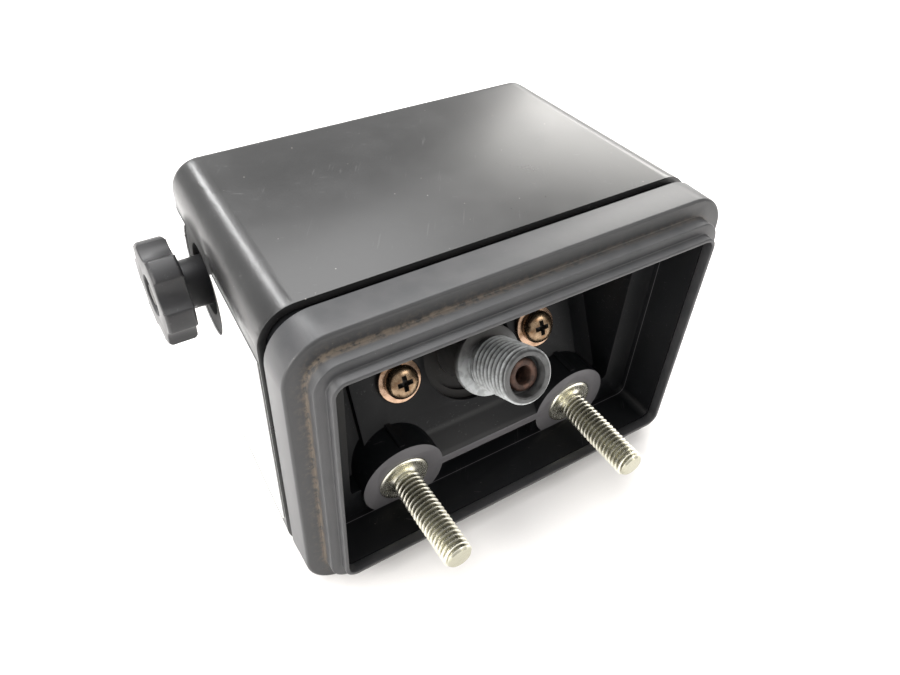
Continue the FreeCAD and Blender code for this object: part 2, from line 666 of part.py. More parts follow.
def make_cable_grommet():
    item = body("cable_grommet")
    place(item, cover_side(S["grommet_y"]), S["grommet_y"], S["grommet_z"], -side_lean(), (0, 0, 1))
    neck = S["grommet_radius"] - S["clearance"]
    lip = S["grommet_radius"] + S["grommet_lip"]
    outer_gap = S["contact"]
    inner_face = -(S["cover_wall"] + S["contact"])
    end = S["grommet_lip_thickness"]
    turned_along_x(item, [(outer_gap, 0.0), (outer_gap, neck - S["grommet_membrane"]),
                          (outer_gap + end, neck - S["grommet_membrane"]), (outer_gap + end, lip - end / 2),
                          (outer_gap + end / 2, lip), (outer_gap, lip), (outer_gap, neck),
                          (inner_face, neck), (inner_face, lip), (inner_face - end, lip),
                          (inner_face - end, neck - S["grommet_membrane"]),
                          (-S["grommet_membrane"], neck - S["grommet_membrane"]),
                          (-S["grommet_membrane"], 0.0)])
    return item


# ---------------------------------------------------------------- knob, spindle and cam

KNOB_BACK = -(cover_side(S["spindle_y"]) + S["knob_standoff"])
KNOB_FRONT = KNOB_BACK - S["knob_thickness"]
KNOB_FLOOR = KNOB_FRONT + S["knob_recess_depth"]
SPINDLE_START = KNOB_FLOOR + S["knob_web"] + S["contact"]
CLIP_INNER = S["frame_half_width"] + S["contact"]
SPINDLE_END = CLIP_INNER + S["clip_thickness"] + S["spindle_tail"]
BORE = S["spindle_radius"] + S["running"]


def on_spindle(label):
    return body(label, x=0.0, u=S["spindle_y"], w=S["spindle_z"])


def make_knob():
    item = on_spindle("knob")
    edge = S["knob_edge"]
    hub_end = KNOB_BACK + S["hub_length"]
    web_back = SPINDLE_START - S["contact"]
    turned_along_x(item, [(KNOB_FLOOR, S["knob_screw_radius"] + S["running"]),
                          (KNOB_FLOOR, S["knob_recess_radius"]), (KNOB_FRONT, S["knob_recess_radius"]),
                          (KNOB_FRONT, S["knob_radius"] - edge), (KNOB_FRONT + edge, S["knob_radius"]),
                          (KNOB_BACK - edge, S["knob_radius"]), (KNOB_BACK, S["knob_radius"] - edge),
                          (KNOB_BACK, S["hub_radius"]), (hub_end, S["hub_radius"]), (hub_end, BORE),
                          (web_back, BORE), (web_back, S["knob_screw_radius"] + S["running"])])
    scallop = sketch(item, "YZ_Plane", KNOB_FRONT - S["knob_edge"])
    distance = S["knob_radius"] + S["knob_scallop_radius"] - S["knob_scallop_depth"]
    circle(scallop, (0.0, distance), S["knob_scallop_radius"])
    cut = pocket(item, scallop, S["knob_thickness"] + 2 * S["knob_edge"])
    pattern = item.newObject("PartDesign::PolarPattern", "knob_scallops")
    pattern.Originals = [cut]
    axis = next(f for f in item.Origin.OriginFeatures if f.Role == "X_Axis")
    pattern.Axis = (axis, [""])
    pattern.Angle = 360
    pattern.Occurrences = KNOB_LOBES
    item.Tip = pattern
    doc.recompute()
    return item


def make_knob_screw():
    item = on_spindle("knob_screw")
    head = KNOB_FLOOR - S["contact"]
    face = head - S["knob_screw_head_height"]
    end = SPINDLE_START + S["knob_screw_length"]
    turned_along_x(item, [(face, 0.0), (face, S["knob_screw_head"] * S["crown_share"]),
                          (face + S["knob_screw_head_height"] / 2, S["knob_screw_head"]),
                          (head, S["knob_screw_head"]), (head, S["knob_screw_radius"]),
                          (end, S["knob_screw_radius"]), (end, 0.0)])
    return item


def make_spindle():
    item = on_spindle("spindle")
    r = S["spindle_radius"]
    thread = S["knob_screw_radius"] + S["running"]
    thread_end = SPINDLE_START + S["knob_screw_length"] + S["contact"]
    groove = r - S["clip_groove"]
    clip_end = CLIP_INNER + S["clip_thickness"] + S["contact"]
    start = CLIP_INNER - S["contact"]
    turned_along_x(item, [(SPINDLE_START, thread), (SPINDLE_START, r), (start, r), (start, groove),
                          (clip_end, groove), (clip_end, r), (SPINDLE_END, r), (SPINDLE_END, 0.0),
                          (thread_end, 0.0), (thread_end, thread)])
    return item


def make_spindle_clip():
    item = on_spindle("spindle_clip")
    hole = S["spindle_radius"] - S["clip_groove"] + S["running"]
    end = CLIP_INNER + S["clip_thickness"]
    turned_along_x(item, [(CLIP_INNER, hole), (CLIP_INNER, S["clip_radius"]), (end, S["clip_radius"]),
                          (end, hole)])
    slot = sketch(item, "YZ_Plane", CLIP_INNER - S["clip_thickness"])
    half = S["clip_groove"] + S["clip_groove"]
    polygon(slot, box(-half, half, 0.0, 2 * S["clip_radius"]))
    pocket(item, slot, 3 * S["clip_thickness"])
    return item


def make_spindle_bush():
    item = on_spindle("spindle_bush")
    outside = -(S["frame_half_width"] + S["contact"])
    inner = -(PLATE_INSIDE - S["bush_inner_length"])
    flange = outside - S["bush_flange"]
    turned_along_x(item, [(flange, BORE), (flange, S["bush_flange_radius"]),
                          (outside, S["bush_flange_radius"]), (outside, S["bush_radius"]),
                          (inner, S["bush_radius"]), (inner, BORE)])
    return item


def make_cam():
    """A plate whose radius rises steadily over the knob's travel and then falls back."""
    travel = S["cam_travel"].value
    low, high = S["cam_low"].value, S["cam_high"].value
    turns = CAM_POINTS
    outline = []
    for step in range(turns):
        angle = 360.0 * step / turns
        if angle <= travel:
            radius = low + (high - low) * angle / travel
        else:
            radius = high + (low - high) * (1 - math.cos(math.pi * (angle - travel) / (360 - travel))) / 2
        direction = math.radians(-angle - S["tilt"].value)
        outline.append(Vector(0, radius * math.cos(direction), radius * math.sin(direction)))
    curve = Part.BSplineCurve()
    curve.interpolate(outline, PeriodicFlag=True)
    thickness = S["cam_thickness"].value
    face = Part.Face(Part.Wire(curve.toShape()))
    face.translate(Vector(-thickness / 2, 0, 0))
    disc = face.extrude(Vector(thickness, 0, 0))
    hole = Part.makeCylinder(BORE.value, 2 * thickness, Vector(-thickness, 0, 0), Vector(1, 0, 0))
    item = doc.addObject("Part::Feature", "cam")
    item.Label = "cam"
    item.Shape = disc.cut(hole)
    place(item, size(0.0), S["spindle_y"], S["spindle_z"], size(0.0))
    return item


# ---------------------------------------------------------------- frame and its screws

LEVER_PIN = (S["lever_pivot_u"], S["lever_pivot_w"])
SETTING_PIN = (S["setting_pivot_u"], S["setting_pivot_w"])
CASE_SCREW_U = S["case_front"] + S["case_depth"] * S["case_screw_share"]
CASE_SCREW_LOW = S["case_low"] + S["terminal_pitch"] / 2
CASE_SCREW_HIGH = CASE_SCREW_LOW + 2 * S["terminal_pitch"]


def make_frame_bracket():
    item = body("frame_bracket", tilted=True)
    half = S["frame_half_width"]
    base = sketch(item, "XZ_Plane", FRAME_FRONT)
    polygon(base, box(-half, half, S["frame_low"], S["frame_high"]))
    pad(item, base, S["frame_sheet"])

    for inside in (-half, PLATE_INSIDE):
        cheek = sketch(item, "YZ_Plane", inside)
        polygon(cheek, [(FRAME_FRONT, S["frame_low"]), (S["cheek_low_reach"], S["frame_low"]),
                        (S["cheek_reach"], 0.0), (S["cheek_reach"], S["cheek_straight"]),
                        (S["cheek_shoulder_reach"], S["cheek_shoulder"]),
                        (S["cheek_high_reach"], S["frame_high"]), (FRAME_FRONT, S["frame_high"])])
        pad(item, cheek, S["frame_sheet"])

    front_holes = sketch(item, "XZ_Plane", FRAME_FRONT - S["contact"])
    circle(front_holes, (0.0, 0.0), S["housing_hub_radius"] + S["running"])
    for side in (-1, 1):
        circle(front_holes, (side * S["screw_x"], 0.0), S["screw_radius"] + S["running"])
    pocket(item, front_holes, 2 * S["frame_sheet"])

    pins = sketch(item, "YZ_Plane")
    for pivot in (LEVER_PIN, SETTING_PIN):
        circle(pins, pivot, S["lever_pin_radius"] + S["running"])
    pocket(item, pins, 3 * half, centred=True)

    left = sketch(item, "YZ_Plane", -half - S["frame_sheet"])
    circle(left, (SPINDLE_U, SPINDLE_W), S["bush_radius"] + S["running"])
    circle(left, (S["earth_u"], S["earth_w"]), S["screw_radius"] + S["running"])
    pocket(item, left, 3 * S["frame_sheet"])

    right = sketch(item, "YZ_Plane", PLATE_INSIDE - S["frame_sheet"])
    circle(right, (SPINDLE_U, SPINDLE_W), BORE)
    for w in (CASE_SCREW_LOW, CASE_SCREW_HIGH):
        circle(right, (CASE_SCREW_U, w), S["case_screw_radius"] + S["running"])
    pocket(item, right, 3 * S["frame_sheet"])
    return item


def make_frame_screws():
    item = body("frame_screw", tilted=True, x=S["screw_x"])
    seat = -(S["washer_thickness"] + 2 * S["contact"])
    face = seat - S["screw_head_height"]
    turned(item, [(0.0, face), (S["screw_head"] * S["crown_share"], face),
                  (S["screw_head"], face + S["screw_head_height"] / 2), (S["screw_head"], seat),
                  (S["screw_radius"], seat), (S["screw_radius"], S["screw_end"]), (0.0, S["screw_end"])])
    cross(item, (size(0.0), size(0.0)), face)
    return mirrored_pair("frame_screws", item)


def make_frame_washers():
    item = body("frame_washer", tilted=True, x=S["screw_x"])
    back = -S["contact"]
    hole = S["screw_radius"] + S["clearance"] / 2
    turned(item, [(hole, back - S["washer_thickness"]), (S["washer_radius"], back - S["washer_thickness"]),
                  (S["washer_radius"], back), (hole, back)])
    return mirrored_pair("frame_washers", item)


def make_earth_screw():
    item = body("earth_screw", tilted=True, u=S["earth_u"], w=S["earth_w"])
    seat = -(S["frame_half_width"] + S["contact"])
    face = seat - S["screw_head_height"]
    end = seat + S["screw_end"] / 2
    turned_along_x(item, [(face, 0.0), (face, S["screw_head"] * 0.7),
                          (face + S["screw_head_height"] / 2, S["screw_head"]), (seat, S["screw_head"]),
                          (seat, S["screw_radius"]), (end, S["screw_radius"]), (end, 0.0)])
    return item


# ---------------------------------------------------------------- pressure side

PORT_END = -S["port_reach"]
PORT_FLANGE = PORT_END + S["thread_length"]
PORT_BORE = S["port_bore_radius"]
CUP_FLOOR = FRAME_BACK + S["contact"] + S["housing_flange"]
SPIGOT_END = CUP_FLOOR - S["contact"]
BELLOWS_START = CUP_FLOOR + S["contact"]
BELLOWS_END = BELLOWS_START + S["bellows_folds"] * S["bellows_pitch"] + 2 * S["bellows_wall"]


def make_port_connector():
    item = body("port_connector", tilted=True)
    r = S["thread_radius"]
    under = PORT_FLANGE - S["undercut_length"]
    flange_back = PORT_FLANGE + S["port_flange_thickness"]
    shank_end = S["housing_front"] - S["contact"]
    turned(item, [(PORT_BORE, PORT_END + S["port_counterbore_depth"]),
                  (S["port_counterbore_radius"], PORT_END + S["port_counterbore_depth"]),
                  (S["port_counterbore_radius"], PORT_END), (r - S["thread_chamfer"], PORT_END),
                  (r, PORT_END + S["thread_chamfer"]), (r, under), (S["undercut_radius"], under),
                  (S["undercut_radius"], PORT_FLANGE), (S["port_flange_radius"], PORT_FLANGE),
                  (S["port_flange_radius"], flange_back), (S["shank_radius"], flange_back),
                  (S["shank_radius"], shank_end), (S["spigot_radius"], shank_end),
                  (S["spigot_radius"], SPIGOT_END), (PORT_BORE, SPIGOT_END)])
    return item


def make_port_tube():
    item = body("port_tube", tilted=True)
    start = PORT_END + S["tube_set_back"]
    turned(item, [(S["tube_bore_radius"], start), (S["tube_radius"], start),
                  (S["tube_radius"], S["tube_end"]), (S["tube_bore_radius"], S["tube_end"])])
    return item


def make_port_seal():
    item = body("port_seal", tilted=True)
    front = S["housing_front"] - S["seal_rise"]
    inner = S["housing_hub_radius"] + S["contact"]
    outer = S["hub_hole_radius"] - S["contact"]
    turned(item, [(inner, front), (outer, front), (outer, S["floor_thickness"]),
                  (inner, S["floor_thickness"])])
    return item


def make_bellows_housing():
    item = body("bellows_housing", tilted=True)
    bore = S["spigot_radius"] + S["running"]
    flange_front = FRAME_BACK + S["contact"]
    cup_inner = S["cup_radius"] - S["cup_wall"]
    turned(item, [(bore, S["housing_front"]), (S["housing_hub_radius"], S["housing_front"]),
                  (S["housing_hub_radius"], flange_front), (S["housing_flange_radius"], flange_front),
                  (S["housing_flange_radius"], CUP_FLOOR), (S["cup_radius"], CUP_FLOOR),
                  (S["cup_radius"], S["cup_end"]), (cup_inner, S["cup_end"]), (cup_inner, CUP_FLOOR),
                  (bore, CUP_FLOOR)])
    return item


def make_housing_cap():
    item = body("housing_cap", tilted=True)
    front = S["cup_end"] + S["contact"]
    hole = S["pin_radius"] + S["running"]
    turned(item, [(hole, front), (S["cup_radius"], front), (S["cup_radius"], front + S["cap_thickness"]),
                  (hole, front + S["cap_thickness"])])
    return item


def make_bellows():
    item = body("bellows", tilted=True)
    wall = S["bellows_wall"]
    outer, inner = S["bellows_outer"], S["bellows_inner"]
    outside = [(outer, BELLOWS_START)]
    inside = [(inner - wall, BELLOWS_START), (inner - wall, BELLOWS_START + wall)]
    for fold in range(BELLOWS_FOLDS):
        start = BELLOWS_START + wall + S["bellows_pitch"] * fold
        crest = start + S["bellows_pitch"] / 4
        root = start + S["bellows_pitch"] * 3 / 4
        outside += [(outer, crest), (inner, root)]
        inside += [(outer - wall, crest), (inner - wall, root)]
    outside += [(outer, BELLOWS_END)]
    inside += [(inner - wall, BELLOWS_END - wall), (0.0, BELLOWS_END - wall), (0.0, BELLOWS_END)]
    profile = sketch(item, "XY_Plane")
    polygon(profile, inside[::-1][1:] + outside + inside[::-1][:1])
    revolve(item, profile, "V_Axis")
    return item


def make_push_pin():
    item = body("push_pin", tilted=True)
    start = BELLOWS_END + S["contact"]
    disc_back = start + S["pin_disc_thickness"]
    nose = S["pin_radius"] - S["pin_nose"]
    turned(item, [(0.0, start), (S["pin_disc_radius"], start), (S["pin_disc_radius"], disc_back),
                  (S["pin_radius"], disc_back), (S["pin_radius"], S["pin_tip"] - S["pin_nose"]),
                  (nose, S["pin_tip"]), (0.0, S["pin_tip"])])
    return item


# ---------------------------------------------------------------- levers and range spring

def knuckle(item, pivot, radius, half_width):
    """Adds a lever's barrel about its pin; the pin's hole is cut last."""
    barrel = sketch(item, "YZ_Plane")
    circle(barrel, pivot, radius)
    pad(item, barrel, 2 * half_width, centred=True)


def pin_hole(item, pivot):
    hole = sketch(item, "YZ_Plane")
    circle(hole, pivot, S["lever_pin_radius"] + S["running"])
    pocket(item, hole, 4 * S["lever_half_width"], centred=True)


def make_main_lever():
    item = body("main_lever", tilted=True)
    half = S["lever_half_width"]
    knuckle(item, LEVER_PIN, S["lever_knuckle"], half)
    plate = sketch(item, "XZ_Plane", LEVER_FRONT)
    low = S["lever_pivot_w"] + S["lever_pin_radius"] * 1.5
    polygon(plate, [(-half, low), (half, low), (half, S["lever_arm_low"]),
                    (S["lever_arm_reach"], S["lever_arm_low"]), (S["lever_arm_reach"], S["lever_top"]),
                    (-half, S["lever_top"])])
    pad(item, plate, S["lever_sheet"])
    pin_hole(item, LEVER_PIN)
    return item


def make_setting_lever():
    item = body("setting_lever", tilted=True)
    half = S["setting_half_width"]
    u, w = SETTING_PIN
    knuckle(item, SETTING_PIN, S["lever_knuckle"], half)

    seat = sketch(item, "XZ_Plane", S["seat_u"])
    polygon(seat, box(-half, half, S["seat_low"], w - S["lever_pin_radius"] * 1.5))
    pad(item, seat, S["seat_sheet"])

    nose_u = FOLLOWER_FRONT + S["follower_radius"]
    nose = sketch(item, "YZ_Plane")
    circle(nose, (nose_u, SPINDLE_W), S["follower_radius"])
    pad(item, nose, S["cam_thickness"], centred=True)

    arm = sketch(item, "YZ_Plane")
    reach = S["lever_knuckle"] * S["arm_share"]
    r = S["follower_radius"] * S["arm_share"]
    polygon(arm, [(u - reach, w - reach / 2), (u + reach, w + reach / 2), (nose_u + r, SPINDLE_W + r),
                  (nose_u - r / 2, SPINDLE_W - r)])
    pad(item, arm, S["cam_thickness"], centred=True)
    pin_hole(item, SETTING_PIN)
    return item


def make_pivot_pin(label, pivot):
    item = body(label, tilted=True, u=pivot[0], w=pivot[1])
    reach = S["frame_half_width"] + S["pin_overhang"]
    turned_along_x(item, [(-reach, 0.0), (-reach, S["lever_pin_radius"]), (reach, S["lever_pin_radius"]),
                          (reach, 0.0)])
    return item


def make_range_spring():
    item = body("range_spring", tilted=True, w=S["spring_w"])
    wire = S["spring_wire"]
    start = LEVER_BACK + S["contact"] + wire
    end = S["seat_u"] - S["contact"] - wire
    profile = sketch(item, "XY_Plane")
    circle(profile, (S["spring_radius"], start), wire)
    coil = item.newObject("PartDesign::AdditiveHelix", "range_spring_coil")
    coil.Profile = profile
    coil.ReferenceAxis = (profile, ["V_Axis"])
    coil.Mode = "height-turns-angle"
    coil.setExpression("Height", (end - start).formula)
    coil.setExpression("Turns", "Sizes.spring_turns")
    doc.recompute()
    return item


# ---------------------------------------------------------------- snap switch

CASE_RIGHT = PLATE_INSIDE - S["contact"]
BUTTON_TIP = LEVER_BACK + S["contact"]
BUTTON_END = BUTTON_TIP + S["button_length"]


def make_switch_case():
    item = body("switch_case", tilted=True)
    block = sketch(item, "XZ_Plane", S["case_front"])
    polygon(block, box(S["case_left"], CASE_RIGHT, S["case_low"], S["case_high"]))
    pad(item, block, S["case_depth"])

    button_well = sketch(item, "XZ_Plane", S["case_front"] - S["contact"])
    circle(button_well, (S["button_x"], S["button_w"]), S["button_radius"] + S["running"])
    pocket(item, button_well, BUTTON_END - S["case_front"] + S["button_travel"] + S["clearance"])

    terminal_holes = sketch(item, "YZ_Plane", S["case_left"] - S["contact"])
    for row in range(TERMINALS):
        w = CASE_SCREW_LOW + S["terminal_pitch"] * row
        circle(terminal_holes, (CASE_SCREW_U, w), S["case_screw_radius"] + S["running"])
    pocket(item, terminal_holes, S["terminal_screw_depth"] + S["clearance"])

    case_holes = sketch(item, "YZ_Plane", CASE_RIGHT - S["case_screw_depth"])
    for w in (CASE_SCREW_LOW, CASE_SCREW_HIGH):
        circle(case_holes, (CASE_SCREW_U, w), S["case_screw_radius"] + S["running"])
    pocket(item, case_holes, S["case_screw_depth"] + S["clearance"])
    return item


def make_switch_button():
    item = body("switch_button", tilted=True, x=S["button_x"], w=S["button_w"])
    nose = S["button_radius"] / 2
    turned(item, [(0.0, BUTTON_TIP), (nose, BUTTON_TIP), (S["button_radius"], BUTTON_TIP + nose),
                  (S["button_radius"], BUTTON_END), (0.0, BUTTON_END)])
    return item


def make_terminals():
    plates = []
    for row in range(TERMINALS):
        item = body(f"terminal_{row + 1}", tilted=True)
        w = CASE_SCREW_LOW + S["terminal_pitch"] * row
        side = S["terminal_side"] / 2
        outline = sketch(item, "YZ_Plane", S["case_left"] - S["contact"] - S["terminal_sheet"])
        polygon(outline, box(CASE_SCREW_U - side, CASE_SCREW_U + side, w - side, w + side))
        circle(outline, (CASE_SCREW_U, w), S["case_screw_radius"] + S["running"])
        pad(item, outline, S["terminal_sheet"])
        plates.append(item)
    return row_of("terminals", plates)


def make_terminal_screws():
    screws = []
    seat = S["case_left"] - 2 * S["contact"] - S["terminal_sheet"]
    face = seat - S["terminal_screw_height"]
    end = S["case_left"] + S["terminal_screw_depth"]
    for row in range(TERMINALS):
        w = CASE_SCREW_LOW + S["terminal_pitch"] * row
        item = body(f"terminal_screw_{row + 1}", tilted=True, u=CASE_SCREW_U, w=w)
        turned_along_x(item, [(face, 0.0), (face, S["terminal_screw_radius"]),
                              (seat, S["terminal_screw_radius"]), (seat, S["case_screw_radius"]),
                              (end, S["case_screw_radius"]), (end, 0.0)])
        screws.append(item)
    return row_of("terminal_screws", screws)


def make_switch_screws():
    screws = []
    seat = S["frame_half_width"] + S["contact"]
    face = seat + S["case_screw_height"]
    end = CASE_RIGHT - S["case_screw_depth"] + S["contact"]
    for number, w in enumerate((CASE_SCREW_LOW, CASE_SCREW_HIGH), start=1):
        item = body(f"switch_screw_{number}", tilted=True, u=CASE_SCREW_U, w=w)
        turned_along_x(item, [(end, 0.0), (end, S["case_screw_radius"]), (seat, S["case_screw_radius"]),
                              (seat, S["case_screw_head"]), (face, S["case_screw_head"]), (face, 0.0)])
        screws.append(item)
    return row_of("switch_screws", screws)


nodes = [
    make_base_housing(), make_gasket(), make_mounting_studs(),
    make_cover(), make_label_plate(), make_cover_screws(), make_cable_grommet(),
    make_knob(), make_knob_screw(), make_spindle(), make_spindle_clip(), make_spindle_bush(),
    make_cam(), make_frame_bracket(), make_frame_screws(), make_frame_washers(), make_earth_screw(),
    make_port_connector(), make_port_tube(), make_port_seal(), make_bellows_housing(),
    make_housing_cap(), make_bellows(), make_push_pin(), make_main_lever(), make_setting_lever(),
    make_pivot_pin("lever_pin", LEVER_PIN), make_pivot_pin("setting_pin", SETTING_PIN),
    make_range_spring(), make_switch_case(), make_switch_button(), make_terminals(),
    make_terminal_screws(), make_switch_screws(),
]
doc.recompute()

for item in doc.Objects:
    if "Invalid" in item.State or "Error" in item.State:
        raise ValueError(f"{item.Label} did not recompute")
for node in nodes:
    if node.Shape.isNull() or not node.Shape.isValid() or not node.Shape.Solids:
        raise ValueError(f"{node.Label} has no valid solid")
    node.Shape.exportStep(f"parts/{node.Label}.step")
    print(f"{node.Label}: {len(node.Shape.Solids)} solid(s), {node.Shape.Volume:.1f} mm3")
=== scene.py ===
"""A pressure switch with its opening towards the viewer, on a pale surface under soft light."""
import json
import math

import bmesh
import bpy
from mathutils import Matrix, Vector

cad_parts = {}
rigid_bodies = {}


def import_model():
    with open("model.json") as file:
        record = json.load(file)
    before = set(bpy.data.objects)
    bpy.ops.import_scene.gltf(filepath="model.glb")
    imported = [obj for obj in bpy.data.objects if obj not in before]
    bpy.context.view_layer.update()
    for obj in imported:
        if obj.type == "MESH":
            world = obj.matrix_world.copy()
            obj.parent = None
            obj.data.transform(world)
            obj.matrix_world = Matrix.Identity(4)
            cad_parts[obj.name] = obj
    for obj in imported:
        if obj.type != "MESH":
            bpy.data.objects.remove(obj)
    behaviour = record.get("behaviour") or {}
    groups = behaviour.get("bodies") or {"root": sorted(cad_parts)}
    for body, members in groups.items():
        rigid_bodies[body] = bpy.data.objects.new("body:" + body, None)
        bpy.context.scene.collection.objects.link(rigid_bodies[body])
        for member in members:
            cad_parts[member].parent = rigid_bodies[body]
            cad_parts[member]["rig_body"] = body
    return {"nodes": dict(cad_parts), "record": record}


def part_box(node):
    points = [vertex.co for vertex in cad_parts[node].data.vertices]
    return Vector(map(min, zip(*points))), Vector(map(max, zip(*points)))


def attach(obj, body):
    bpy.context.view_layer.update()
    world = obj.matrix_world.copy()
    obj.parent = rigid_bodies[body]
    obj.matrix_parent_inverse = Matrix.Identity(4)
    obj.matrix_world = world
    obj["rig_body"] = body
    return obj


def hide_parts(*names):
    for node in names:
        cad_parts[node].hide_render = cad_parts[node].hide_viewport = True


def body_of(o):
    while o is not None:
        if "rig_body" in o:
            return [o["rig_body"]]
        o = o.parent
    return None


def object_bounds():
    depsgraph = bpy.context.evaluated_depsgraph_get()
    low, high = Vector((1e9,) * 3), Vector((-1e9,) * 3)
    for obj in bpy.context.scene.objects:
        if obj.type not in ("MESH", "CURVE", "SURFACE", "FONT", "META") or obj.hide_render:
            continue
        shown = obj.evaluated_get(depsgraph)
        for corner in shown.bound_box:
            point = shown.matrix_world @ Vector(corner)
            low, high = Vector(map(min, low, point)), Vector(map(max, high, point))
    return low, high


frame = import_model()
nodes = frame["nodes"]
cad_low, cad_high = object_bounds()
bpy.ops.object.select_all(action="DESELECT")

MM = 0.001
MOUNTS = {mount["name"]: mount for mount in frame["record"]["mounts"]}
PORT_TIP = Vector(MOUNTS["pressure_port"]["pos_m"])
INWARD = -Vector(MOUNTS["pressure_port"]["axis"])
STUDS = MOUNTS["mounting_studs"]["dims"]
STUD_SPACING = STUDS["spacing_x_mm"] * MM
STUD_RADIUS = STUDS["stud_r_mm"] * MM
PORT_RADIUS = MOUNTS["pressure_port"]["dims"]["r_mm"] * MM
SIDEWAYS = Vector((1, 0, 0))
PORT_REACH = 21.24          # millimetres from the sloping floor to the port's end, along its axis
PORT_CHAMFER = 0.8
FLOOR = PORT_TIP + INWARD * (PORT_REACH - PORT_CHAMFER) * MM
OUTER_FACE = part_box("mounting_studs")[0].y / MM
RING_RIM = 6.4              # how far the gasket's ring and its band stand out from the opening
BAND_RIM = 2.8
BAND_CORNER = 4.8
BOSS_FACE = 10.6            # the depth at which the stud bosses end


# ---------------------------------------------------------------- camera, surface and light

def set_camera():
    """The camera stands to the left of the opening and above it, rolled a little."""
    turn, rise, roll = math.radians(-34.45), math.radians(42.69), math.radians(3.55)
    back = Vector((math.sin(turn) * math.cos(rise), -math.cos(turn) * math.cos(rise), math.sin(rise)))
    right = Vector((0, 0, 1)).cross(back).normalized()
    up = back.cross(right)
    level_right = math.cos(roll) * right + math.sin(roll) * up
    level_up = math.cos(roll) * up - math.sin(roll) * right
    camera = bpy.data.objects.new("camera", bpy.data.cameras.new("camera"))
    bpy.context.scene.collection.objects.link(camera)
    camera.data.lens = 30.76
    camera.data.sensor_width = 36
    camera.data.clip_start = 0.005
    facing = Matrix((level_right, level_up, back)).transposed().to_4x4()
    camera.matrix_world = Matrix.Translation(Vector((-67.83, -70.71, 125.23)) * MM) @ facing
    bpy.context.scene.camera = camera


def add_light(name, place, aim, size, watts, colour=(1, 1, 1)):
    lamp = bpy.data.lights.new(name, "AREA")
    lamp.shape = "RECTANGLE"
    lamp.size, lamp.size_y = size
    lamp.energy = watts
    lamp.color = colour
    light = bpy.data.objects.new(name, lamp)
    bpy.context.scene.collection.objects.link(light)
    light.location = place
    light.rotation_mode = "QUATERNION"
    light.rotation_quaternion = (Vector(aim) - Vector(place)).to_track_quat("-Z", "Y")


def set_light():
    scene = bpy.context.scene
    scene.view_settings.view_transform = "Standard"
    world = bpy.data.worlds.new("studio")
    scene.world = world
    world.use_nodes = True
    background = world.node_tree.nodes["Background"]
    background.inputs["Color"].default_value = (1.0, 0.99, 0.98, 1)
    background.inputs["Strength"].default_value = 0.9
    middle = (0, 0.03, 0.02)
    add_light("overhead", (-0.05, 0.25, 0.75), middle, (0.9, 0.5), 8.0)
    add_light("left_side", (-0.7, 0.0, 0.3), middle, (0.5, 0.4), 6.0, (1, 0.98, 0.95))
    add_light("front_right", (0.45, -0.6, 0.5), middle, (0.3, 0.3), 1.8, (1, 0.97, 0.93))
    add_light("back_strip", (-0.12, 0.62, 0.56), (-0.04, 0.04, 0.05), (0.05, 0.45), 3.0)
    add_light("back_right", (0.62, 0.46, 0.4), middle, (0.4, 0.35), 4.0, (1, 0.98, 0.94))


# ---------------------------------------------------------------- shader maths

class Value:
    """A number on a node's socket; arithmetic on it adds Math nodes."""

    def __init__(self, finish, socket):
        self.finish = finish
        self.socket = socket

    def math(self, operation, *others, clamp=False):
        node = self.finish.node("ShaderNodeMath", {"operation": operation, "use_clamp": clamp},
                                {index: v for index, v in enumerate((self, *others))})
        return Value(self.finish, node.outputs[0])

    def __add__(self, other):
        return self.math("ADD", other)

    def __mul__(self, other):
        return self.math("MULTIPLY", other)

    def __sub__(self, other):
        return self.math("SUBTRACT", other)

    def __rsub__(self, other):
        return (self * -1.0) + other

    __radd__ = __add__
    __rmul__ = __mul__

    def clamped(self):
        return self.math("ADD", 0.0, clamp=True)

    def above(self, start, end):
        """0 below start, 1 past end, smooth between; end may be the smaller one."""
        node = self.finish.node("ShaderNodeMapRange", {"interpolation_type": "SMOOTHSTEP"},
                                {"Value": self, "From Min": start, "From Max": end})
        return Value(self.finish, node.outputs["Result"])

    def near(self, centre, reach):
        """1 at the centre, falling to 0 at the reach."""
        return (self - centre).math("ABSOLUTE").above(reach, 0.0)


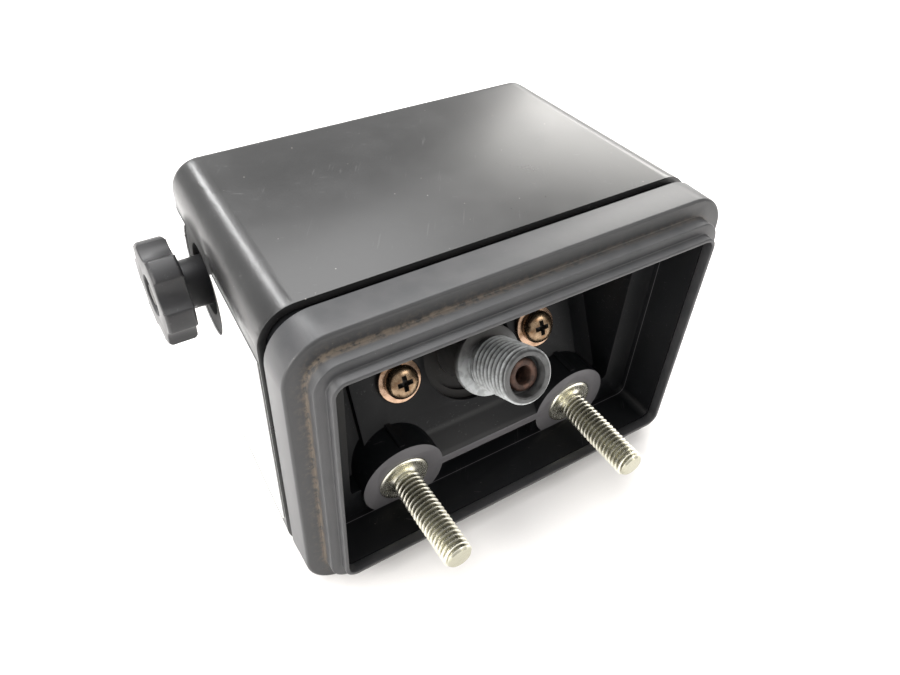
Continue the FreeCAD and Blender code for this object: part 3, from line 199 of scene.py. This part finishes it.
class Finish:
    """A procedural material: Object coordinates in, one Principled shader out."""

    def __init__(self, name):
        self.material = bpy.data.materials.new(name)
        self.material.use_nodes = True
        self.tree = self.material.node_tree
        self.shader = self.tree.nodes["Principled BSDF"]
        self.place = self.node("ShaderNodeTexCoord").outputs["Object"]

    def node(self, kind, settings=None, inputs=None):
        node = self.tree.nodes.new(kind)
        for name, value in (settings or {}).items():
            setattr(node, name, value)
        for name, value in (inputs or {}).items():
            self.feed(node.inputs[name], value)
        return node

    def feed(self, target, value):
        if isinstance(value, Value):
            value = value.socket
        if isinstance(value, bpy.types.NodeSocket):
            self.tree.links.new(value, target)
        elif isinstance(value, (tuple, list)) and target.type == "RGBA":
            target.default_value = (*value[:3], 1)
        else:
            target.default_value = value

    def axis(self, letter):
        """One Object coordinate in millimetres."""
        parts = self.node("ShaderNodeSeparateXYZ", inputs={0: self.place})
        return Value(self, parts.outputs[letter]) * 1000.0

    def stretched(self, scale):
        return self.node("ShaderNodeMapping", inputs={"Vector": self.place, "Scale": scale}).outputs[0]

    def noise(self, grain_mm, detail=3.0, roughness=0.55, vector=None):
        """Cloudy noise whose grain has this size."""
        node = self.node("ShaderNodeTexNoise", inputs={
            "Vector": self.place if vector is None else vector, "Scale": 1000.0 / grain_mm,
            "Detail": detail, "Roughness": roughness})
        return Value(self, node.outputs["Fac"])

    def specks(self, spacing_mm, radius):
        """Small round specks, one for each cell, of varied size."""
        node = self.node("ShaderNodeTexVoronoi", inputs={
            "Vector": self.place, "Scale": 1000.0 / spacing_mm})
        size = self.node("ShaderNodeSeparateColor", inputs={0: node.outputs["Color"]})
        chosen = Value(self, size.outputs[0]).above(0.55, 0.95)
        return Value(self, node.outputs["Distance"]).above(radius, radius * 0.4) * chosen

    def scratches(self, grain_mm, turn, density):
        """Fine hair lines along one direction."""
        turned = self.node("ShaderNodeMapping", inputs={"Vector": self.place, "Rotation": turn})
        thin = self.node("ShaderNodeMapping", inputs={"Vector": turned.outputs[0], "Scale": (1, 0.03, 1)})
        lines = self.noise(grain_mm, 2.0, 0.5, thin.outputs[0])
        patches = self.noise(grain_mm * 18).above(0.5, 0.62)
        return lines.above(density, density + 0.03) * patches

    def radius(self, across, height):
        """Distance from a line, from two distances at right angles."""
        return (across * across + height * height).math("SQRT")

    def mix(self, factor, first, second):
        node = self.node("ShaderNodeMix", {"data_type": "RGBA"})
        self.feed(node.inputs[0], factor)
        self.feed(node.inputs[6], first)
        self.feed(node.inputs[7], second)
        return node.outputs[2]

    def bump(self, height, depth_mm):
        inputs = {"Height": height, "Distance": depth_mm * MM, "Strength": 1.0}
        return self.node("ShaderNodeBump", inputs=inputs).outputs[0]

    def done(self, colour, roughness, metallic=0.0, normal=None, **constants):
        self.feed(self.shader.inputs["Base Color"], colour)
        self.feed(self.shader.inputs["Roughness"], roughness)
        self.feed(self.shader.inputs["Metallic"], metallic)
        if normal is not None:
            self.feed(self.shader.inputs["Normal"], normal)
        for name, value in constants.items():
            self.feed(self.shader.inputs[name.replace("_", " ")], value)
        return self.material


# ---------------------------------------------------------------- finishes

def black_moulding(name, tone, gloss, grain_depth, dust, painted_reflection_face=None, shine=0.5, dull_ring=None):
    """Satin black plastic: fine grain, hair scratches, dust; one plane across Y may carry a paler painted
    reflection, and the left side may be dull within a radius of the knob's axis."""
    f = Finish(name)
    cloud = f.noise(9.0, 4.0)
    grain = f.noise(0.28, 2.0)
    dirt = f.specks(2.4, 0.07)
    lint = f.specks(0.9, 0.09) * f.noise(6.0).above(0.5, 0.75)
    marks = (f.scratches(0.35, (0, 0, 0.6), 0.66) + f.scratches(0.5, (0.4, 0, 2.1), 0.68)).clamped()
    light = tuple(c * 1.3 for c in tone)
    colour = f.mix(cloud.above(0.35, 0.7), tone, light)
    colour = f.mix(marks * 0.12, colour, (0.16, 0.16, 0.16))
    colour = f.mix((dirt + lint).clamped() * dust, colour, (0.42, 0.40, 0.37))
    if painted_reflection_face:
        # painted reflection: a paler plane of colour at this depth stands in for light caught by the faces
        # there
        colour = f.mix(f.axis("Y").near(painted_reflection_face, 0.12), colour, (0.11, 0.107, 0.112))
    rough = gloss + cloud * 0.12 + marks * 0.1 + grain * 0.05
    if dull_ring:
        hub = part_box("spindle")
        spin = (hub[0] + hub[1]) / 2 / MM
        away = f.radius(f.axis("Y") - spin.y, f.axis("Z") - spin.z)
        rough = rough + away.above(dull_ring, dull_ring * 0.8) * f.axis("X").above(-38.0, -41.0) * 0.5
    return f.done(colour, rough, normal=f.bump(grain + dirt * 0.6 - marks * 0.3, grain_depth),
                  Specular_IOR_Level=shine)


def dirty_rubber():
    """Dark grey rubber with a faint bloom, dust specks, brown dirt packed behind the band and painted shade
    on the step behind it.
    """
    f = Finish("gasket_rubber")
    low, high = (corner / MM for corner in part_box("gasket"))
    inset = RING_RIM - BAND_RIM + BAND_CORNER
    beside = f.axis("X").math("ABSOLUTE") - (high.x - inset)
    beyond = (f.axis("Z") - (low.z + high.z) / 2).math("ABSOLUTE") - ((high.z - low.z) / 2 - inset)
    inner = beside.math("MAXIMUM", beyond).math("MINIMUM", 0.0)
    outside = f.radius(beside.math("MAXIMUM", 0.0), beyond.math("MAXIMUM", 0.0)) + inner - BAND_CORNER
    depth = f.axis("Y")
    mottle = f.noise(4.0, 4.0, 0.5)
    fine = f.noise(0.35, 3.0)
    ragged = f.noise(1.2, 4.0, 0.65)
    left = f.axis("X").above(20.0, -44.0) * 0.75 + 0.25
    crust = outside.near(0.15, 0.75) * depth.above(3.4, 4.2) * ragged.above(0.34, 0.56)
    smear = outside.near(0.6, 2.4) * depth.above(4.3, 4.6) * ragged.above(0.45, 0.72) * 0.45
    mud = ((crust + smear) * left).clamped()
    colour = f.mix(mottle.above(0.3, 0.7), (0.026, 0.027, 0.029), (0.036, 0.036, 0.038))
    # painted shade: a near-black strip between depths 4.3 and 5.3 mm darkens the crease and step face
    # behind the band
    colour = f.mix(depth.above(4.3, 4.6) * depth.above(5.3, 4.9) * 0.5, colour, (0.012, 0.012, 0.012))
    colour = f.mix(f.specks(1.4, 0.06) * 0.4, colour, (0.34, 0.32, 0.29))
    colour = f.mix(mud * 0.65, colour, (0.17, 0.135, 0.10))
    rough = 0.40 + mottle * 0.08 + mud * 0.25
    return f.done(colour, rough, normal=f.bump(fine * 0.3 + mottle * 0.3 + mud, 0.02),
                  Specular_IOR_Level=0.45)


def yellow_zinc(name, bright, deep, tarnish, grooves=None):
    """Bright zinc with a thin chromate, rubbed and spotted; thread grooves hold a darker film."""
    f = Finish(name)
    cloud = f.noise(1.6, 4.0, 0.6)
    fine = f.noise(0.18, 3.0)
    spots = f.specks(0.8, 0.14)
    colour = f.mix(cloud.above(0.35, 0.7), bright, deep)
    colour = f.mix(cloud.above(0.5, 0.75) * tarnish, colour, (0.22, 0.12, 0.06))
    colour = f.mix(spots * tarnish, colour, (0.16, 0.11, 0.06))
    if grooves:
        away = (f.axis("X").math("ABSOLUTE") - STUD_SPACING / MM / 2, f.axis("Z"))
        root, crest = grooves
        colour = f.mix(f.radius(*away).above(crest, root) * 0.75, colour, (0.28, 0.27, 0.19))
    rough = 0.24 + fine * 0.04 + spots * 0.2
    return f.done(colour, rough, 0.95 - spots * 0.4, f.bump(cloud, 0.01))


def oxidised_zinc(name):
    """Old zinc plating: blue-grey oxide over dull metal, pitted, dark in the thread's grooves, with painted
    shade where it sits deep in the housing.
    """
    f = Finish(name)
    cloud = f.noise(1.5, 5.0, 0.6)
    fine = f.noise(0.2, 4.0, 0.6)
    pits = f.specks(0.55, 0.16)
    oxide = cloud.above(0.34, 0.6)
    colour = f.mix(oxide, (0.33, 0.34, 0.34), (0.52, 0.54, 0.545))
    colour = f.mix(pits * 0.6, colour, (0.12, 0.11, 0.10))
    height = (f.axis("Y") - FLOOR.y / MM) * -INWARD.z + (f.axis("Z") - FLOOR.z / MM) * INWARD.y
    radius = f.radius(f.axis("X"), height)
    groove = radius.above(PORT_RADIUS / MM - 0.1, PORT_RADIUS / MM - 0.6) * f.axis("Y").above(14.0, 12.8)
    colour = f.mix(groove * 0.9, colour, (0.055, 0.055, 0.055))
    # painted shade: past about 12.8 mm deep the connector turns near black and loses its shine, standing in
    # for the cavity's shadow
    painted_deep_shade = f.axis("Y").above(12.8, 16.0)
    colour = f.mix(painted_deep_shade * 0.93, colour, (0.020, 0.018, 0.016))
    rough = 0.45 + fine * 0.2 + oxide * 0.1
    shiny = (0.55 - oxide * 0.3) * (1.0 - painted_deep_shade)
    return f.done(colour, rough, shiny, f.bump(fine + cloud * 0.4 - pits, 0.015))


def tarnished_copper():
    f = Finish("tarnished_copper")
    cloud = f.noise(1.2, 5.0, 0.6)
    fine = f.noise(0.2, 3.0)
    colour = f.mix(cloud.above(0.35, 0.65), (0.10, 0.055, 0.04), (0.045, 0.028, 0.022))
    colour = f.mix(f.specks(0.6, 0.2) * 0.7, colour, (0.05, 0.04, 0.035))
    return f.done(colour, 0.36 + fine * 0.3, 0.6, f.bump(fine + cloud, 0.04))


def plated_steel(name, tone):
    """Zinc plated sheet: rolled grain, soft stains and small scratches."""
    f = Finish(name)
    rolled = f.noise(0.4, 2.0, 0.5, f.stretched((1.0, 0.05, 1.0)))
    cloud = f.noise(6.0, 4.0)
    dark = tuple(c * 0.72 for c in tone)
    colour = f.mix(cloud.above(0.3, 0.75), tone, dark)
    colour = f.mix(f.specks(1.3, 0.1) * 0.6, colour, (0.2, 0.17, 0.13))
    rough = 0.26 + rolled * 0.14 + cloud * 0.12
    return f.done(colour, rough, 0.95, f.bump(rolled, 0.012))


def machined_brass():
    f = Finish("machined_brass")
    turned = f.noise(0.3, 2.0, 0.5, f.stretched((0.05, 1.0, 1.0)))
    cloud = f.noise(3.0, 4.0)
    colour = f.mix(cloud.above(0.35, 0.7), (0.80, 0.62, 0.30), (0.58, 0.42, 0.18))
    return f.done(colour, 0.24 + turned * 0.16 + cloud * 0.1, 1.0, f.bump(turned, 0.01))


def pale_acetal():
    f = Finish("pale_acetal")
    cloud = f.noise(4.0, 3.0)
    fine = f.noise(0.3, 2.0)
    colour = f.mix(cloud, (0.74, 0.72, 0.66), (0.62, 0.59, 0.52))
    return f.done(colour, 0.38 + fine * 0.12, normal=f.bump(fine, 0.01))


def dark_phenolic():
    f = Finish("dark_phenolic")
    cloud = f.noise(2.0, 5.0, 0.65)
    fine = f.noise(0.25, 2.0)
    colour = f.mix(cloud.above(0.3, 0.7), (0.075, 0.034, 0.026), (0.13, 0.062, 0.045))
    return f.done(colour, 0.34 + fine * 0.15, normal=f.bump(fine, 0.015))


def plate_foil():
    """Pale satin foil nameplate: fine rules near the front edge, scuffs and dull fingerprints."""
    f = Finish("plate_foil")
    depth = f.axis("Y")
    height = f.axis("Z")
    smudge = f.noise(7.0, 4.0)
    brushed = f.noise(0.25, 2.0, 0.5, f.stretched((1.0, 0.04, 1.0)))
    low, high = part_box("label_plate")
    margin, line, front, back = 2.35, 0.13, 19.4, 58.6
    bottom = low.z / MM + margin
    top = high.z / MM - margin
    inside = height.above(bottom - 0.1, bottom + 0.2) * height.above(top + 0.1, top - 0.2)
    rules = (depth.near(front, 0.2) + depth.near(21.6, line) + depth.near(back, line)).clamped() * inside
    frame_line = (height.near(top, 0.14) + height.near(bottom, 0.14)).clamped() \
        * depth.above(front - 0.2, front) * depth.above(back + 0.2, back)
    colour = f.mix(smudge.above(0.35, 0.7), (0.93, 0.93, 0.92), (0.86, 0.86, 0.85))
    colour = f.mix(f.specks(2.2, 0.07) * 0.5, colour, (0.35, 0.33, 0.30))
    colour = f.mix((rules + frame_line).clamped() * 0.8, colour, (0.10, 0.10, 0.105))
    return f.done(colour, 0.34 + brushed * 0.12 + smudge * 0.1, 0.15, f.bump(brushed, 0.008))


def surface_paint():
    f = Finish("pale_surface")
    cloud = f.noise(60.0, 3.0)
    colour = f.mix(cloud, (0.93, 0.915, 0.905), (0.95, 0.94, 0.935))
    return f.done(colour, 0.55 + f.noise(0.8) * 0.1, normal=f.bump(f.noise(0.5), 0.02))


# ---------------------------------------------------------------- modelling helpers

def begin_edit(piece):
    bpy.ops.object.select_all(action="DESELECT")
    piece.select_set(True)
    bpy.context.view_layer.objects.active = piece
    bpy.ops.object.mode_set(mode="EDIT")


def end_edit():
    bpy.ops.object.mode_set(mode="OBJECT")


def apply_modifier(piece, kind, **settings):
    """Adds a modifier, sets it and applies it."""
    modifier = piece.modifiers.new(kind.lower(), kind)
    for name, value in settings.items():
        setattr(modifier, name, value)
    bpy.ops.object.select_all(action="DESELECT")
    piece.select_set(True)
    bpy.context.view_layer.objects.active = piece
    bpy.ops.object.modifier_apply(modifier=modifier.name)


def tidy_mesh(piece, distance=0.001 * MM):
    """Merges doubles and turns every face outward."""
    begin_edit(piece)
    bpy.ops.mesh.select_all(action="SELECT")
    bpy.ops.mesh.remove_doubles(threshold=distance)
    bpy.ops.mesh.normals_make_consistent(inside=False)
    end_edit()


def smooth(piece, angle=32):
    bpy.ops.object.select_all(action="DESELECT")
    piece.select_set(True)
    bpy.context.view_layer.objects.active = piece
    bpy.ops.object.shade_smooth_by_angle(angle=math.radians(angle))


def settle(piece, origin, along):
    """Stands a piece built along its own Z at its place, then applies that place to the mesh."""
    along = along.normalized()
    across = (SIDEWAYS - SIDEWAYS.dot(along) * along).normalized()
    facing = Matrix((across, along.cross(across), along)).transposed().to_4x4()
    piece.matrix_world = Matrix.Translation(origin) @ facing
    bpy.ops.object.select_all(action="DESELECT")
    piece.select_set(True)
    bpy.context.view_layer.objects.active = piece
    bpy.ops.object.transform_apply(location=True, rotation=True, scale=True)


def trace(name, outline):
    """Draws an open line of (radius, height) points in the XZ plane by extruding one vertex."""
    bpy.ops.mesh.primitive_plane_add(size=MM, location=(0, 0, 0))
    piece = bpy.context.active_object
    piece.name = name
    bpy.ops.object.mode_set(mode="EDIT")
    bpy.ops.mesh.select_all(action="SELECT")
    bpy.ops.mesh.merge(type="CENTER")
    here = Vector((0, 0, 0))
    for step, (radius, height) in enumerate(outline):
        point = Vector((radius, 0, height)) * MM
        move = {"value": point - here}
        if step == 0:
            bpy.ops.transform.translate(**move)
        else:
            bpy.ops.mesh.extrude_region_move(TRANSFORM_OT_translate=move)
        here = point
    end_edit()
    return piece


def turn_piece(name, outline, steps=72):
    """A turned piece about its own Z, from (radius, height) points in millimetres."""
    piece = trace(name, outline)
    begin_edit(piece)
    bpy.ops.mesh.select_all(action="SELECT")
    bpy.ops.mesh.spin(steps=steps, angle=2 * math.pi, center=(0, 0, 0), axis=(0, 0, 1))
    end_edit()
    tidy_mesh(piece, 0.002 * MM)
    return piece


def threaded_rod(name, crest, root, pitch, low, high, chamfer):
    """A rod with a real helical thread between two heights, its ends chamfered."""
    flat = pitch / 8
    groove = [(root, 0.0), (root, flat * 1.5), (crest, flat * 4.0), (crest, flat * 5.0), (root, flat * 7.5),
              (root, pitch)]
    rod = trace(name, [(radius, low - 2 * pitch + height) for radius, height in groove])
    turns = int((high - low) / pitch) + 4
    apply_modifier(rod, "SCREW", screw_offset=pitch * MM, iterations=turns, steps=40, render_steps=40,
                   use_merge_vertices=True, merge_threshold=0.002 * MM, use_normal_calculate=True)
    begin_edit(rod)
    bpy.ops.mesh.select_all(action="SELECT")
    bpy.ops.mesh.remove_doubles(threshold=0.002 * MM)
    bpy.ops.mesh.select_all(action="DESELECT")
    bpy.ops.mesh.select_non_manifold(extend=False, use_boundary=True, use_wire=False,
                                     use_multi_face=False, use_non_contiguous=False, use_verts=False)
    bpy.ops.mesh.edge_face_add()
    bpy.ops.mesh.select_all(action="SELECT")
    bpy.ops.mesh.fill_holes(sides=0)
    bpy.ops.mesh.normals_make_consistent(inside=False)
    end_edit()
    over = crest + 0.001
    blank = turn_piece("blank", [(0, low), (over - chamfer, low), (over, low + chamfer), (over, high),
                                 (0, high)], 48)
    apply_modifier(rod, "BOOLEAN", operation="INTERSECT", object=blank, solver="EXACT")
    bpy.data.objects.remove(blank)
    return rod


def joined(name, pieces):
    """Joins pieces into the first one."""
    bpy.ops.object.select_all(action="DESELECT")
    for piece in pieces:
        piece.select_set(True)
    bpy.context.view_layer.objects.active = pieces[0]
    bpy.ops.object.join()
    pieces[0].name = name
    return pieces[0]


def softened(node, width_mm, segments=2, angle=35):
    """A copy of a CAD node, its triangles merged to faces and its edges rounded."""
    piece = nodes[node].copy()
    piece.data = nodes[node].data.copy()
    bpy.context.scene.collection.objects.link(piece)
    piece.name = f"{node}_moulded"
    for key in list(piece.keys()):
        if key.startswith("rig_"):
            del piece[key]
    body = body_of(nodes[node])[0]
    piece.parent = None
    begin_edit(piece)
    bpy.ops.mesh.select_all(action="SELECT")
    bpy.ops.mesh.remove_doubles(threshold=0.004 * MM)
    bpy.ops.mesh.dissolve_limited(angle_limit=math.radians(1.0))
    bpy.ops.mesh.normals_make_consistent(inside=False)
    end_edit()
    apply_modifier(piece, "BEVEL", width=width_mm * MM, segments=segments, limit_method="ANGLE",
                   angle_limit=math.radians(angle), harden_normals=False, use_clamp_overlap=True)
    smooth(piece, 40)
    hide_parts(node)
    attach(piece, body)
    return piece


def paint(piece, *materials):
    piece.data.materials.clear()
    for material in materials:
        piece.data.materials.append(material)


def mirrored_copy(piece, name):
    """The same piece on the other side of X = 0, with its own mesh."""
    twin = piece.copy()
    twin.data = piece.data.copy()
    twin.name = name
    bpy.context.scene.collection.objects.link(twin)
    twin.location.x = -2 * (sum((v.co.x for v in piece.data.vertices)) / len(piece.data.vertices))
    bpy.ops.object.select_all(action="DESELECT")
    twin.select_set(True)
    bpy.context.view_layer.objects.active = twin
    bpy.ops.object.transform_apply(location=True, rotation=False, scale=False)
    return twin


# ---------------------------------------------------------------- pieces

def make_studs(zinc):
    """Two studs with a rolled thread, a plain neck and a pressed round flange."""
    thread = threaded_rod("stud_thread", crest=STUD_RADIUS / MM, root=2.42, pitch=1.0,
                          low=OUTER_FACE, high=9.5, chamfer=0.7)
    flange = turn_piece("stud_flange", [
        (0, 9.3), (2.5, 9.3), (2.62, 9.45), (2.62, 10.0), (2.9, 10.22), (3.35, 10.34), (3.75, 10.42),
        (4.3, 10.36), (4.75, 10.30), (5.15, 10.33), (5.4, 10.46), (5.5, 10.7), (5.5, 11.4), (0, 11.4)])
    stud = joined("mounting_stud_right", [thread, flange])
    settle(stud, Vector((STUD_SPACING / 2, 0, 0)), Vector((0, 1, 0)))
    smooth(stud, 38)
    twin = mirrored_copy(stud, "mounting_stud_left")
    for piece in (stud, twin):
        paint(piece, zinc)
        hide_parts("mounting_studs")
        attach(piece, "body")


def make_port(zinc, copper):
    """The threaded connector with its counterbore, flange and shank, and the tube inside it."""
    thread = threaded_rod("port_thread", crest=PORT_RADIUS / MM, root=4.86, pitch=1.27,
                          low=-PORT_REACH, high=-9.9, chamfer=0.75)
    bore = turn_piece("bore", [(0, -24.0), (4.6, -24.0), (4.6, -21.6), (3.97, -20.95), (3.97, -18.2),
                               (3.25, -17.6), (3.25, -5.0), (0, -5.0)], 64)
    apply_modifier(thread, "BOOLEAN", operation="DIFFERENCE", object=bore, solver="EXACT")
    bpy.data.objects.remove(bore)
    shank = turn_piece("port_shank", [
        (3.25, -10.0), (4.8, -10.0), (4.9, -9.9), (4.9, -8.5), (5.1, -8.28), (6.95, -8.28), (7.25, -8.15),
        (7.35, -7.9), (7.35, -7.05), (7.25, -6.8), (6.95, -6.68), (6.2, -6.68), (6.0, -6.5), (6.0, 2.45),
        (4.0, 2.45), (4.0, 6.5), (3.25, 6.5), (3.25, -10.0)])
    connector = joined("port_connector_body", [thread, shank])
    settle(connector, FLOOR, INWARD)
    smooth(connector, 38)
    paint(connector, zinc)
    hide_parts("port_connector")
    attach(connector, "body")

    tube = turn_piece("port_tube_end", [
        (1.7, 7.5), (1.7, -19.5), (1.95, -19.78), (2.45, -19.84), (2.95, -19.7), (3.2, -19.35), (3.2, 7.5),
        (1.7, 7.5)], 56)
    settle(tube, FLOOR, INWARD)
    smooth(tube, 45)
    paint(tube, copper)
    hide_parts("port_tube")
    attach(tube, "body")


def cross_tool(depth, reach, half_width):
    """Two tapered blades that sink a cross recess, pointing along +Z from height 0."""
    blades = []
    for turn in (0, 90):
        bpy.ops.mesh.primitive_cube_add(size=1, location=(0, 0, (depth / 2 - 0.5) * MM))
        blade = bpy.context.active_object
        blade.scale = (2 * reach * MM, 2 * half_width * MM, (depth + 1.0) * MM)
        blade.rotation_euler.z = math.radians(turn)
        bpy.ops.object.transform_apply(location=True, rotation=True, scale=True)
        begin_edit(blade)
        bpy.ops.mesh.select_all(action="DESELECT")
        mesh = bmesh.from_edit_mesh(blade.data)
        for vertex in mesh.verts:
            vertex.select = vertex.co.z > 0
        mesh.select_flush(True)
        bmesh.update_edit_mesh(blade.data)
        bpy.ops.transform.resize(value=(0.45, 0.45, 1), center_override=(0, 0, 0))
        end_edit()
        blades.append(blade)
    return blades


def pan_screw(name, metal, head_radius, head_height, shank_radius, shank_end, recess):
    """A pan head with a cross recess; its head's top is at -head_height, its seat at 0."""
    r, top = head_radius, -head_height
    screw = turn_piece(name, [
        (0, top), (r * 0.30, top + 0.02), (r * 0.58, top + 0.12), (r * 0.80, top + 0.38),
        (r * 0.93, top + 0.8), (r, top * 0.45), (r, -0.12), (r - 0.1, 0), (shank_radius, 0),
        (shank_radius, shank_end - 0.5), (shank_radius - 0.5, shank_end), (0, shank_end)], 56)
    for blade in cross_tool(recess, r * 0.62, r * 0.19):
        blade.location.z = top * MM
        apply_modifier(screw, "BOOLEAN", operation="DIFFERENCE", object=blade, solver="EXACT")
        bpy.data.objects.remove(blade)
    # painted shade: the faces inside the cross recess take a near-black second material
    paint(screw, metal, recess_painted_shade)
    for face in screw.data.polygons:
        centre = face.center / MM
        inside = math.hypot(centre.x, centre.y) < r * 0.72 and centre.z > top + 0.3
        face.material_index = int(inside and centre.z < top + recess + 0.1)
    return screw


def make_floor_screws(zinc):
    """The two cross-head screws that hold the frame to the sloping floor."""
    head_radius, washer_top = 3.5, 1.0
    low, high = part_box("frame_screws")
    reach = (high.x / MM - low.x / MM) / 2 - head_radius
    screw = pan_screw("floor_screw_right", zinc, head_radius, head_height=2.4, shank_radius=1.75,
                      shank_end=9.9, recess=1.5)
    settle(screw, FLOOR + SIDEWAYS * reach * MM - INWARD * washer_top * MM, INWARD)
    smooth(screw, 40)
    twin = mirrored_copy(screw, "floor_screw_left")
    for piece in (screw, twin):
        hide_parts("frame_screws")
        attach(piece, "body")


def make_cover_screws(zinc):
    """The two pan screws in the cover's back."""
    head_radius, head_height = 2.9, 1.8
    low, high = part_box("cover_screws")
    reach = (high.x - low.x) / 2 - head_radius * MM
    screw = pan_screw("cover_screw_right", zinc, head_radius, head_height, shank_radius=1.5,
                      shank_end=8.0, recess=1.2)
    settle(screw, Vector((reach, high.y - head_height * MM, (low.z + high.z) / 2)), Vector((0, -1, 0)))
    smooth(screw, 40)
    twin = mirrored_copy(screw, "cover_screw_left")
    for piece in (screw, twin):
        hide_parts("cover_screws")
        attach(piece, "body")


def make_surface(paint_material):
    """The pale surface that the switch rests on."""
    bpy.ops.mesh.primitive_plane_add(size=6, location=(0, 0, cad_low.z))
    surface = bpy.context.active_object
    surface.name = "surface"
    paint(surface, paint_material)


cover_black = black_moulding("cover_plastic", (0.012, 0.0121, 0.0124), 0.22, 0.001, 0.5,
                             dull_ring=13.0)
# the housing's boss faces at BOSS_FACE get a paler painted reflection
housing_black = black_moulding("housing_plastic", (0.004, 0.0043, 0.005), 0.3, 0.006, 0.3,
                               painted_reflection_face=BOSS_FACE, shine=0.2)
knob_black = black_moulding("knob_plastic", (0.010, 0.0098, 0.0108), 0.34, 0.008, 0.2, shine=0.4)
rubber = dirty_rubber()
zinc_yellow = yellow_zinc("zinc_yellow", (0.90, 0.87, 0.74), (0.78, 0.75, 0.60), 0.15)
stud_yellow = yellow_zinc("stud_yellow", (0.93, 0.91, 0.80), (0.80, 0.78, 0.64), 0.12, grooves=(2.5, 2.85))
rusty_yellow = yellow_zinc("screw_yellow", (0.31, 0.22, 0.14), (0.14, 0.095, 0.06), 0.9)
washer_bronze = yellow_zinc("washer_bronze", (0.50, 0.34, 0.24), (0.32, 0.21, 0.14), 0.7)
# painted shade: a near-black finish for recesses and holes that lie in shadow
recess_painted_shade = black_moulding("recess_painted_shade", (0.012, 0.010, 0.008), 0.5, 0.01, 0.2)
hub_black = black_moulding("hub_black", (0.008, 0.007, 0.006), 0.42, 0.008, 0.7, shine=0.3)
zinc_dull = oxidised_zinc("zinc_dull")
copper = tarnished_copper()
steel = plated_steel("plated_steel", (0.66, 0.655, 0.64))
FINISHES = {
    "housing_plastic": housing_black, "cover_plastic": cover_black, "gasket_rubber": rubber,
    "zinc_yellow": zinc_yellow, "zinc_dull": zinc_dull, "copper": copper, "steel": steel,
    "label_foil": plate_foil(), "knob_plastic": knob_black, "cam_plastic": pale_acetal(),
    "switch_plastic": dark_phenolic(), "brass_parts": machined_brass(),
    "bronze": plated_steel("spring_bronze", (0.62, 0.44, 0.24)),
}
for part in frame["record"]["subparts"]:
    paint(nodes[part["node"]], FINISHES[part["material_slot"]])
paint(nodes["frame_washers"], washer_bronze)
paint(nodes["earth_screw"], rusty_yellow)
# painted shade: the knob's screw is near black so its hole reads as shadow
paint(nodes["knob_screw"], recess_painted_shade)
paint(nodes["port_seal"], hub_black)
paint(nodes["bellows_housing"], hub_black)

set_camera()
set_light()
make_surface(surface_paint())

for node, width in (("cover", 0.15), ("base_housing", 0.2), ("gasket", 0.22), ("knob", 0.35),
                    ("cable_grommet", 0.3), ("frame_washers", 0.15), ("label_plate", 0.06)):
    softened(node, width)
make_studs(stud_yellow)
make_port(zinc_dull, copper)
make_floor_screws(rusty_yellow)
make_cover_screws(zinc_yellow)
